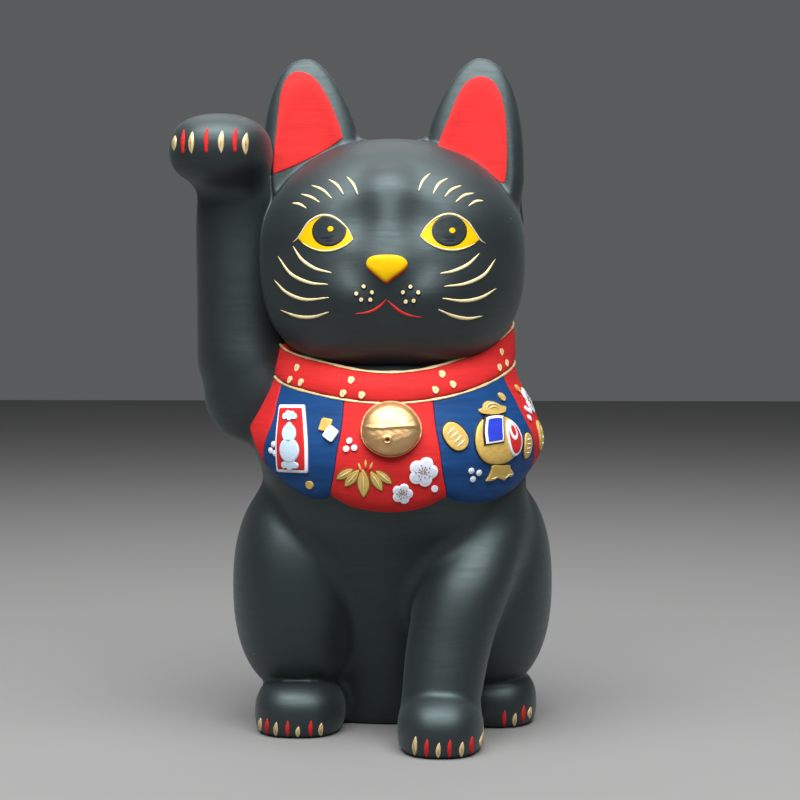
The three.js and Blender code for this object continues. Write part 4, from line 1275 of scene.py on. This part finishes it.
def make_mallet():
    """The lucky mallet: its ochre barrel with a ringed end face, a cobalt cloth over it, the knot
    above and the tassel below."""
    place = on_bib(44.3, 131.6)
    barrel = closed_curve(
        [
            (14.6, 0.5), (13.2, 5.2), (9.8, 8.6), (5.0, 10.0), (-1.0, 10.2), (-6.6, 9.3), (-11.0, 5.8), (-13.0, 0.2),
            (-11.6, -4.8), (-7.2, -8.8), (-1.0, -10.2), (5.4, -9.8), (10.4, -7.4), (13.7, -3.6)
        ],
        110,
    )
    add("mallet_barrel_edge", [button(place, barrel * 1.045, 0.35)], "line_black")
    dome = ((1, -0.5), (1, 0.5), (0.98, 0.72), (0.93, 0.86), (0.8, 0.96), (0.6, 1.0), (0.3, 1.02))
    add("mallet_barrel_clay", [button(place, barrel, 1.3, dome)], "ochre_gold_slip", ("mallet_barrel",))
    end = np.array([8.9, 0.6])
    ring = oval(4.9, 7.9, 48)
    ring[:, 0] -= 0.1 * ring[:, 1]
    add("mallet_end_white", [button(place, end + ring, 1.75, FLAT, end)], "white_slip")
    add("mallet_end_red", [button(place, end + ring * (0.8, 0.86), 1.9, FLAT, end)], "red_paint")
    inner = end + (-0.9, 3.0)
    small = [button(place, inner + ring * (0.52, 0.5), 2.05, FLAT, inner)]
    add("mallet_end_inner", small, "white_slip")
    add("mallet_end_heart", [button(place, inner + (0.1, 0.4) + ring * (0.27, 0.29), 2.2, FLAT, inner)], "red_paint")
    cloth = closed_curve(
        [
            (-5.2, 10.2), (-0.5, 10.7), (4.4, 10.4), (4.4, 9.9), (2.4, 5.2), (1.2, 0.0), (0.6, -0.6), (-4.0, -1.0),
            (-8.4, -1.3), (-8.7, -0.7), (-8.5, 4.2), (-6.2, 9.3)
        ][::-1],
        96,
    )
    middle = cloth.mean(axis=0)
    grown = middle + (cloth - middle) * (1.13, 1.08)
    add("mallet_cloth_edge", [button(place, grown, 1.75, BROAD, middle)], "line_black")
    add("mallet_cloth_hem", [button(place, cloth, 1.95, BROAD, middle)], "white_slip")
    within = middle + (cloth - middle) * (0.8, 0.84)
    add("mallet_cloth", [button(place, within, 2.1, BROAD, middle)], "cobalt_paint")
    knot = closed_curve(
        [
            (-6.8, 11.6), (-7.8, 13.2), (-5.4, 13.9), (-4.2, 15.4), (-1.2, 16.6), (2.6, 16.3), (5.2, 15.2), (6.9, 14.5),
            (9.6, 14.0), (8.6, 12.2), (6.2, 11.4), (0.0, 10.9)
        ][::-1],
        90,
    )
    add("mallet_knot_cloth", [button(place, knot, 1.1, BROAD, (0.6, 13.2))], "ochre_gold_slip", ("mallet_knot",))
    upper = ((-6.9, 13.0), (-4.4, 12.8), (-3.0, 14.6), (0.0, 15.6), (3.0, 15.2), (5.2, 13.8), (8.4, 13.4))
    lower = ((-3.0, 12.2), (-1.6, 13.6), (1.0, 14.3), (3.6, 13.4), (4.8, 12.2))
    frills = [
        stroke(place, upper, 0.46, 1.6, (0.7, 0.6), 44),
        stroke(place, lower, 0.36, 1.55, (0.5, 0.4), 30),
    ]
    add("mallet_frills", frills, "cream_line")
    tassel = closed_curve(
        [
            (-2.6, -10.6), (3.0, -10.9), (8.0, -11.2), (9.4, -12.6), (12.9, -15.2), (11.6, -16.5), (9.0, -16.3),
            (7.0, -17.6), (4.6, -17.0), (2.0, -16.4), (-0.6, -17.2), (-3.2, -17.4), (-4.8, -17.2),
            (-3.4, -15.0), (-2.8, -12.6)
        ][::-1],
        96,
    )
    shape = button(place, tassel, 0.95, BROAD, (3.2, -13.8))
    add("mallet_tassel_cloth", [shape], "ochre_gold_slip", ("mallet_tassel",))
    hem = ((8.4, -11.8), (10.2, -14.0), (12.0, -15.3), (9.2, -15.4), (7.2, -16.6), (5.0, -16.0), (2.2, -15.4))
    fringe = [
        stroke(place, hem, 0.44, 1.4, (0.7, 0.6), 40),
        stroke(place, ((2.2, -15.4), (-0.4, -16.3), (-3.6, -16.5)), 0.44, 1.4, (0.7, 0.5), 24),
    ]
    add("mallet_fringe", fringe, "cream_line")


WHITE_BEADS = (
    (-13.8, 132.4), (-14.9, 129.0), (-11.9, 129.5), (-47.3, 129.5), (-49.2, 126.7), (-46.9, 125.7), (32.5, 119.2),
    (36.2, 118.1), (33.8, 115.5), (70.0, 143.8), (73.6, 142.6), (69.4, 139.9)
)
GOLD_BEADS = ((-31.6, 112.9), (53.3, 149.8), (71.5, 152.6))


def make_beads():
    """White beads in threes with pale blue hearts, the lone white bead, and gold beads."""
    white = [button(on_bib(a, z), oval(1.3, 1.3, 24), 0.8) for a, z in WHITE_BEADS]
    white.append(button(on_bib(18.0, 112.0), oval(1.5, 1.5, 24), 0.8))
    add("white_beads", white, "white_slip", ("white_bead",))
    hearts = [button(on_bib(a, z), oval(0.62, 0.62, 14), 0.98) for a, z in WHITE_BEADS]
    add("white_bead_hearts", hearts, "petal_shade")
    gold = [button(on_bib(a, z), oval(1.95, 1.8, 28, wobble=0.03), 0.9) for a, z in GOLD_BEADS]
    add("gold_beads", gold, "ochre_gold_slip", ("gold_bead_right", "gold_bead_left"))
    treasure = on_bib(79, 131.5, 4)
    add("side_treasure", [button(treasure, oval(4.2, 6.6, 48, 2.3), 0.9, FLAT)], "ochre_gold_slip")
    bars = [
        stroke(treasure, ((-0.6, 4.8), (0.3, 3.2), (0.2, 1.6)), 0.34, 1.25, (0.6, 0.5), 16),
        stroke(treasure, ((0.2, 0.4), (0.5, -0.7), (0.1, -1.7)), 0.34, 1.25, (0.6, 0.5), 16),
        button(treasure, oval(0.6, 0.6, 16) + (0.2, -3.6), 1.2, RAISED, (0.2, -3.6)),
    ]
    add("side_treasure_bars", bars, "white_slip")


# ---- The bow behind, the stopper and the stage ----


def make_bow():
    """The bow at the nape: a pleated knot, two puffed loops and two ends laid on the back."""
    turn = np.linspace(0, 2 * math.pi, 72, endpoint=False)
    for name in ("bow_knot", "bow_right_loop", "bow_left_loop"):
        middle, reach = middle_and_reach(name)
        knot = name == "bow_knot"
        along = np.linspace(0.04, math.pi - 0.04, 40)[:, None]
        pleat = 1 + (0.045 if knot else 0.05) * np.cos(turn * (9 if knot else 7)) * np.sin(along) ** 0.5
        thin = np.sin(along) ** 0.7 * pleat
        if not knot:
            side = 1 if middle[0] > 0 else -1
            share = -np.cos(along) * side
            thin = thin * (0.8 + 0.2 * np.clip(share * side, -1, 1))
        x = middle[0] - reach[0] * np.cos(along)
        y = middle[1] + reach[1] * 0.97 * thin * np.cos(turn)
        z = middle[2] + reach[2] * 0.97 * thin * np.sin(turn)
        rings = np.stack(np.broadcast_arrays(x, y, z), axis=-1)
        poles = np.array([middle - (reach[0], 0, 0), middle + (reach[0], 0, 0)])
        add(f"{name}_cloth", [capped(rings, poles)], "red_paint", (name,))
    for side, word in ((-1, "right"), (1, "left")):
        low, high = box(f"bow_{word}_end")
        s = spaced(13, (0, 0.15, 0.4, 0.8), 0.9)[:, None]
        t = spaced(high[2] - low[2], (0, 0.15, 0.4, 0.8), 0.9)[None]
        z = low[2] + (high[2] - low[2]) * t
        start, spread = 4.0 + (1 - t) * 2.0, 8.0 + (1 - t) * 4.0
        angle = math.pi - side * np.radians(start + spread * s)
        edge = np.minimum(np.minimum(s, 1 - s) * 13, np.minimum(t, 1 - t) * 20)
        lift = 3.4 - rounded_by(edge, 0.9, 1.1) + 0.35 * np.sin(s * 3 * math.pi) * (1 - t)
        outer, inner = on_trunk(angle, z, lift), on_trunk(angle, z, 0.3)
        add(f"bow_{word}_end_cloth", [slab(outer, inner)], "red_paint", (f"bow_{word}_end",))


def make_stopper():
    """The rubber stopper, a profile turned round its own upright axis: a domed flange with a finger
    recess, a neck and a ribbed plug."""
    low, high = box("base_stopper")
    wide = STOPPER_REACH[0]
    profile = [
        (wide - 9, low[2] + 1.2), (wide - 8, low[2] + 0.9), (wide - 7.4, low[2] + 0.25), (wide - 6.6, low[2]),
        (wide - 1.4, low[2]), (wide - 0.5, low[2] + 0.25), (wide, low[2] + 0.9), (wide - 0.1, low[2] + 1.9),
        (wide - 0.6, low[2] + 2.4), (wide - 2.9, low[2] + 2.5), (wide - 3.3, low[2] + 2.9),
    ]
    for z in np.arange(low[2] + 4.0, high[2] - 1.6, 2.0):
        profile += [(wide - 3.4, z), (wide - 3.1, z + 0.5), (wide - 3.4, z + 1.0), (wide - 3.6, z + 1.5)]
    profile += [(wide - 4.4, high[2] - 0.2), (wide - 5.4, high[2])]
    radius, z = np.array(profile).T
    turn = np.linspace(0, 2 * math.pi, 72, endpoint=False)
    x = STOPPER_MIDDLE[0] + radius[:, None] * np.cos(turn)
    y = STOPPER_MIDDLE[1] + radius[:, None] * np.sin(turn)
    rings = np.stack(np.broadcast_arrays(x, y, z[:, None]), axis=-1)
    poles = np.array([[*STOPPER_MIDDLE[:2], low[2] + 1.2], [*STOPPER_MIDDLE[:2], high[2]]])
    points, faces = capped(rings, poles)
    faces = outward(points, faces)
    piece = mesh_object("stopper_rubber_plug", points, faces, finish("stopper_rubber"))
    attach(piece, "stopper")
    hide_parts("base_stopper")


def soft_lamp(name, size, power, at, toward, colour):
    """A square area lamp that looks at a point, all in metres."""
    data = bpy.data.lights.new(name, "AREA")
    data.shape, data.size, data.size_y = "RECTANGLE", size[0], size[1]
    data.energy, data.color = power, colour
    lamp = bpy.data.objects.new(name, data)
    lamp.location = at
    lamp.rotation_euler = (Vector(toward) - Vector(at)).to_track_quat("-Z", "Y").to_euler()
    bpy.context.scene.collection.objects.link(lamp)


# Each lamp: name, size, share of the key power, place, the point it faces and colour.
LAMPS = (
    ("overhead_lamp", (1.4, 1.0), 1.0, (0.0, -0.45, 1.15), (0, -0.02, 0.18), (0.97, 1.0, 1.0)),
    ("front_fill", (1.6, 0.5), 0.13, (0.0, -1.35, 1.3), (0, 0, 0.16), (0.97, 1.0, 1.0)),
    ("back_rim", (1.2, 0.5), 0.12, (0.0, 0.65, 1.1), (0, 0, 0.16), (1.0, 1.0, 1.0)),
)
CAMERA_AWAY, CAMERA_HEIGHT, CAMERA_TURN, CAMERA_DIP = 0.9, 0.19, 2.0, 2.87
FLOOR_REACH = 3.0


def make_stage(studio):
    """A pale floor, one broad lamp overhead and a little in front, weak fill, and the camera."""
    scene = bpy.context.scene
    mesh = bpy.data.meshes.new("floor")
    corners = [(x * FLOOR_REACH, y * FLOOR_REACH, 0) for x, y in ((-1, -1), (1, -1), (1, 1), (-1, 1))]
    mesh.from_pydata(corners, [], [(0, 1, 2, 3)])
    floor = bpy.data.objects.new("floor", mesh)
    scene.collection.objects.link(floor)
    material = bpy.data.materials.new("pale_floor")
    material.use_nodes = True
    shader = material.node_tree.nodes["Principled BSDF"]
    shader.inputs["Base Color"].default_value = (*studio.floor_colour, 1.0)
    shader.inputs["Roughness"].default_value = 0.9
    behind = node(material.node_tree, "ShaderNodeNewGeometry").outputs["Backfacing"]
    material.node_tree.links.new(reckon(material.node_tree, "SUBTRACT", 1.0, behind), shader.inputs["Alpha"])
    mesh.materials.append(material)
    world = bpy.data.worlds.new("studio")
    world.use_nodes = True
    backdrop = world.node_tree.nodes["Background"]
    backdrop.inputs["Color"].default_value = (0.86, 0.88, 0.9, 1.0)
    backdrop.inputs["Strength"].default_value = studio.fill
    scene.world = world
    for name, size, share, at, toward, colour in LAMPS:
        soft_lamp(name, size, studio.key_power * share, at, toward, colour)
    data = bpy.data.cameras.new("camera")
    data.lens, data.sensor_width = 89.5, 36.0
    data.shift_x, data.shift_y = 0.00875, 0.0044
    camera = bpy.data.objects.new("camera", data)
    turn = math.radians(CAMERA_TURN)
    camera.location = (CAMERA_AWAY * math.sin(turn), -CAMERA_AWAY * math.cos(turn), CAMERA_HEIGHT)
    camera.rotation_euler = (math.radians(90 - CAMERA_DIP), 0, turn)
    scene.collection.objects.link(camera)
    scene.camera = camera
    scene.view_settings.view_transform = "Standard"


# ---- The add-on: what a user may change, the makers and their panel ----


def colour_property(name, what, value):
    """A colour a user may change."""
    return FloatVectorProperty(name=name, description=what, subtype="COLOR", size=3, min=0, max=1, default=tint(*value))


class CatColours(bpy.types.PropertyGroup):
    """The finishes' colours."""

    pottery: colour_property("Pottery", "Matte black clay coat", (18, 21, 25))
    red: colour_property("Red", "Red of collar, bib and ears", (202, 43, 43))
    blue: colour_property("Blue", "Deep blue of the bib's two blue panels", (26, 66, 118))
    yellow: colour_property("Yellow", "Eyes and nose", (226, 176, 6))
    gold_leaf: colour_property("Gold leaf", "The bell", (204, 164, 114))
    gold_line: colour_property("Gold line", "Cords of the collar and gold claws", (222, 196, 146))
    cream_line: colour_property("Cream line", "Whiskers, brows and lids", (226, 208, 160))
    ochre_gold: colour_property("Ochre gold", "Coins, mallet, leaves", (208, 172, 92))
    brown_line: colour_property("Brown line", "Stamens and leaf edges", (128, 92, 42))
    white_slip: colour_property("White slip", "Petals, beads and frames", (232, 232, 242))
    petal_shade: colour_property("Petal shade", "Hearts of the petals and beads", (212, 216, 234))
    pale_blue: colour_property("Pale blue slip", "Gourd, clouds and the pale chip", (196, 216, 232))
    cobalt: colour_property("Cobalt", "The mallet's cloth", (44, 62, 190))
    iris_grey: colour_property("Iris", "Dark discs of the eyes", (42, 49, 51))
    line_black: colour_property("Line black", "Thin dark edges", (20, 20, 24))
    lip_red: colour_property("Lip red", "Mouth and the nose's lower edge", (188, 42, 38))
    rubber: colour_property("Rubber", "The stopper", (56, 54, 52))


class CatSizes(bpy.types.PropertyGroup):
    """Sizes of the clay skins."""

    body_step: FloatProperty(
        name="Body step", description="Size of the body skin's squares", default=1.7 * MM, min=0.001, unit="LENGTH"
    )
    head_step: FloatProperty(
        name="Head step", description="Size of the head skin's squares", default=1.1 * MM, min=0.0008, unit="LENGTH"
    )


class CatStudio(bpy.types.PropertyGroup):
    """Floor and light."""

    floor_colour: colour_property("Floor", "Colour of the pale floor", (124, 123, 122))
    key_power: FloatProperty(name="Key power", description="Overhead lamp", default=38.0, min=0, unit="POWER")
    fill: FloatProperty(name="Fill", description="Strength of the light from all round", default=0.12, min=0)


class CAT_OT_body_skin(bpy.types.Operator):
    """Makes the clay body with its arm, feet and tail, and the bead that lutes the arm on."""

    bl_idname = "cat.body_skin"
    bl_label = "Body, arm and feet"
    bl_options = {"REGISTER"}

    def execute(self, context):
        make_body(context.scene.cat_sizes)
        make_arm_seam()
        return {"FINISHED"}


class CAT_OT_head_skin(bpy.types.Operator):
    """Makes the clay head with its two ears."""

    bl_idname = "cat.head_skin"
    bl_label = "Head and ears"
    bl_options = {"REGISTER"}

    def execute(self, context):
        make_head(context.scene.cat_sizes)
        return {"FINISHED"}


class CAT_OT_ear_linings(bpy.types.Operator):
    """Lays the red linings in the ears."""

    bl_idname = "cat.ear_linings"
    bl_label = "Ear linings"
    bl_options = {"REGISTER"}

    def execute(self, context):
        make_ear_linings()
        return {"FINISHED"}


class CAT_OT_eyes(bpy.types.Operator):
    """Paints the eyes and their lids."""

    bl_idname = "cat.eyes"
    bl_label = "Eyes"
    bl_options = {"REGISTER"}

    def execute(self, context):
        make_eyes()
        return {"FINISHED"}


class CAT_OT_nose_and_mouth(bpy.types.Operator):
    """Makes the nose, the mouth and the dots of the whisker pads."""

    bl_idname = "cat.nose_and_mouth"
    bl_label = "Nose and mouth"
    bl_options = {"REGISTER"}

    def execute(self, context):
        make_nose_and_mouth()
        return {"FINISHED"}


class CAT_OT_brows_and_whiskers(bpy.types.Operator):
    """Paints the brows and the whiskers."""

    bl_idname = "cat.brows_and_whiskers"
    bl_label = "Brows and whiskers"
    bl_options = {"REGISTER"}

    def execute(self, context):
        make_brows_and_whiskers()
        return {"FINISHED"}


class CAT_OT_claws(bpy.types.Operator):
    """Paints the claws on the feet and the paw."""

    bl_idname = "cat.claws"
    bl_label = "Claws"
    bl_options = {"REGISTER"}

    def execute(self, context):
        make_claws()
        return {"FINISHED"}


class CAT_OT_collar(bpy.types.Operator):
    """Makes the collar, its gold cords and its flecks."""

    bl_idname = "cat.collar"
    bl_label = "Collar"
    bl_options = {"REGISTER"}

    def execute(self, context):
        make_collar()
        return {"FINISHED"}


class CAT_OT_bib(bpy.types.Operator):
    """Makes the five panels of the bib."""

    bl_idname = "cat.bib"
    bl_label = "Bib"
    bl_options = {"REGISTER"}

    def execute(self, context):
        make_bib()
        return {"FINISHED"}


class CAT_OT_bell(bpy.types.Operator):
    """Makes the bell."""

    bl_idname = "cat.bell"
    bl_label = "Bell"
    bl_options = {"REGISTER"}

    def execute(self, context):
        make_bell()
        return {"FINISHED"}


class CAT_OT_plaque_and_chips(bpy.types.Operator):
    """Lays the plaque with its gourd and the two chips."""

    bl_idname = "cat.plaque_and_chips"
    bl_label = "Plaque and chips"
    bl_options = {"REGISTER"}

    def execute(self, context):
        make_plaque_and_chips()
        return {"FINISHED"}


class CAT_OT_bamboo(bpy.types.Operator):
    """Lays the bamboo spray."""

    bl_idname = "cat.bamboo"
    bl_label = "Bamboo"
    bl_options = {"REGISTER"}

    def execute(self, context):
        make_bamboo()
        return {"FINISHED"}


class CAT_OT_blossoms(bpy.types.Operator):
    """Lays the plum blossoms."""

    bl_idname = "cat.blossoms"
    bl_label = "Plum blossoms"
    bl_options = {"REGISTER"}

    def execute(self, context):
        make_blossoms()
        return {"FINISHED"}


class CAT_OT_coins(bpy.types.Operator):
    """Lays the two old coins."""

    bl_idname = "cat.coins"
    bl_label = "Coins"
    bl_options = {"REGISTER"}

    def execute(self, context):
        make_coins()
        return {"FINISHED"}


class CAT_OT_mallet(bpy.types.Operator):
    """Lays the lucky mallet with its cloth, knot and tassel."""

    bl_idname = "cat.mallet"
    bl_label = "Lucky mallet"
    bl_options = {"REGISTER"}

    def execute(self, context):
        make_mallet()
        return {"FINISHED"}


class CAT_OT_beads(bpy.types.Operator):
    """Sets the beads and the small treasure at the side."""

    bl_idname = "cat.beads"
    bl_label = "Beads"
    bl_options = {"REGISTER"}

    def execute(self, context):
        make_beads()
        return {"FINISHED"}


class CAT_OT_bow(bpy.types.Operator):
    """Ties the bow at the nape."""

    bl_idname = "cat.bow"
    bl_label = "Bow"
    bl_options = {"REGISTER"}

    def execute(self, context):
        make_bow()
        return {"FINISHED"}


class CAT_OT_stopper(bpy.types.Operator):
    """Makes the rubber stopper in the base."""

    bl_idname = "cat.stopper"
    bl_label = "Stopper"
    bl_options = {"REGISTER"}

    def execute(self, context):
        make_stopper()
        return {"FINISHED"}


class CAT_OT_stage(bpy.types.Operator):
    """Sets the floor, the lamps and the camera."""

    bl_idname = "cat.stage"
    bl_label = "Stage"
    bl_options = {"REGISTER"}

    def execute(self, context):
        make_stage(context.scene.cat_studio)
        return {"FINISHED"}


MAKERS = (
    CAT_OT_body_skin, CAT_OT_head_skin, CAT_OT_ear_linings, CAT_OT_eyes, CAT_OT_nose_and_mouth,
    CAT_OT_brows_and_whiskers, CAT_OT_claws, CAT_OT_collar, CAT_OT_bib, CAT_OT_bell,
    CAT_OT_plaque_and_chips, CAT_OT_bamboo, CAT_OT_blossoms, CAT_OT_coins, CAT_OT_mallet, CAT_OT_beads,
    CAT_OT_bow, CAT_OT_stopper, CAT_OT_stage,
)


class CAT_PT_workshop(bpy.types.Panel):
    """Lists the makers, the sizes, the colours and the studio's light."""

    bl_label = "Beckoning cat"
    bl_idname = "CAT_PT_workshop"
    bl_space_type = "VIEW_3D"
    bl_region_type = "UI"
    bl_category = "Cat"

    def draw(self, context):
        layout = self.layout
        for maker in MAKERS:
            layout.operator(maker.bl_idname)
        for group in (context.scene.cat_sizes, context.scene.cat_studio, context.scene.cat_colours):
            box_of = layout.box()
            for key in group.bl_rna.properties.keys():
                if key not in ("rna_type", "name"):
                    box_of.prop(group, key)


CLASSES = (CatColours, CatSizes, CatStudio, *MAKERS, CAT_PT_workshop)


def register():
    """Registers the classes and hangs the settings on the scene."""
    for kind in CLASSES:
        bpy.utils.register_class(kind)
    bpy.types.Scene.cat_colours = PointerProperty(type=CatColours)
    bpy.types.Scene.cat_sizes = PointerProperty(type=CatSizes)
    bpy.types.Scene.cat_studio = PointerProperty(type=CatStudio)


def unregister():
    """Takes the settings and the classes away again."""
    del bpy.types.Scene.cat_colours, bpy.types.Scene.cat_sizes, bpy.types.Scene.cat_studio
    for kind in reversed(CLASSES):
        bpy.utils.unregister_class(kind)


def main():
    """Registers the add-on and makes every piece in turn."""
    register()
    for maker in MAKERS:
        getattr(bpy.ops.cat, maker.bl_idname.split(".")[1])()
    bpy.context.view_layer.update()


if __name__ == "__main__":
    main()
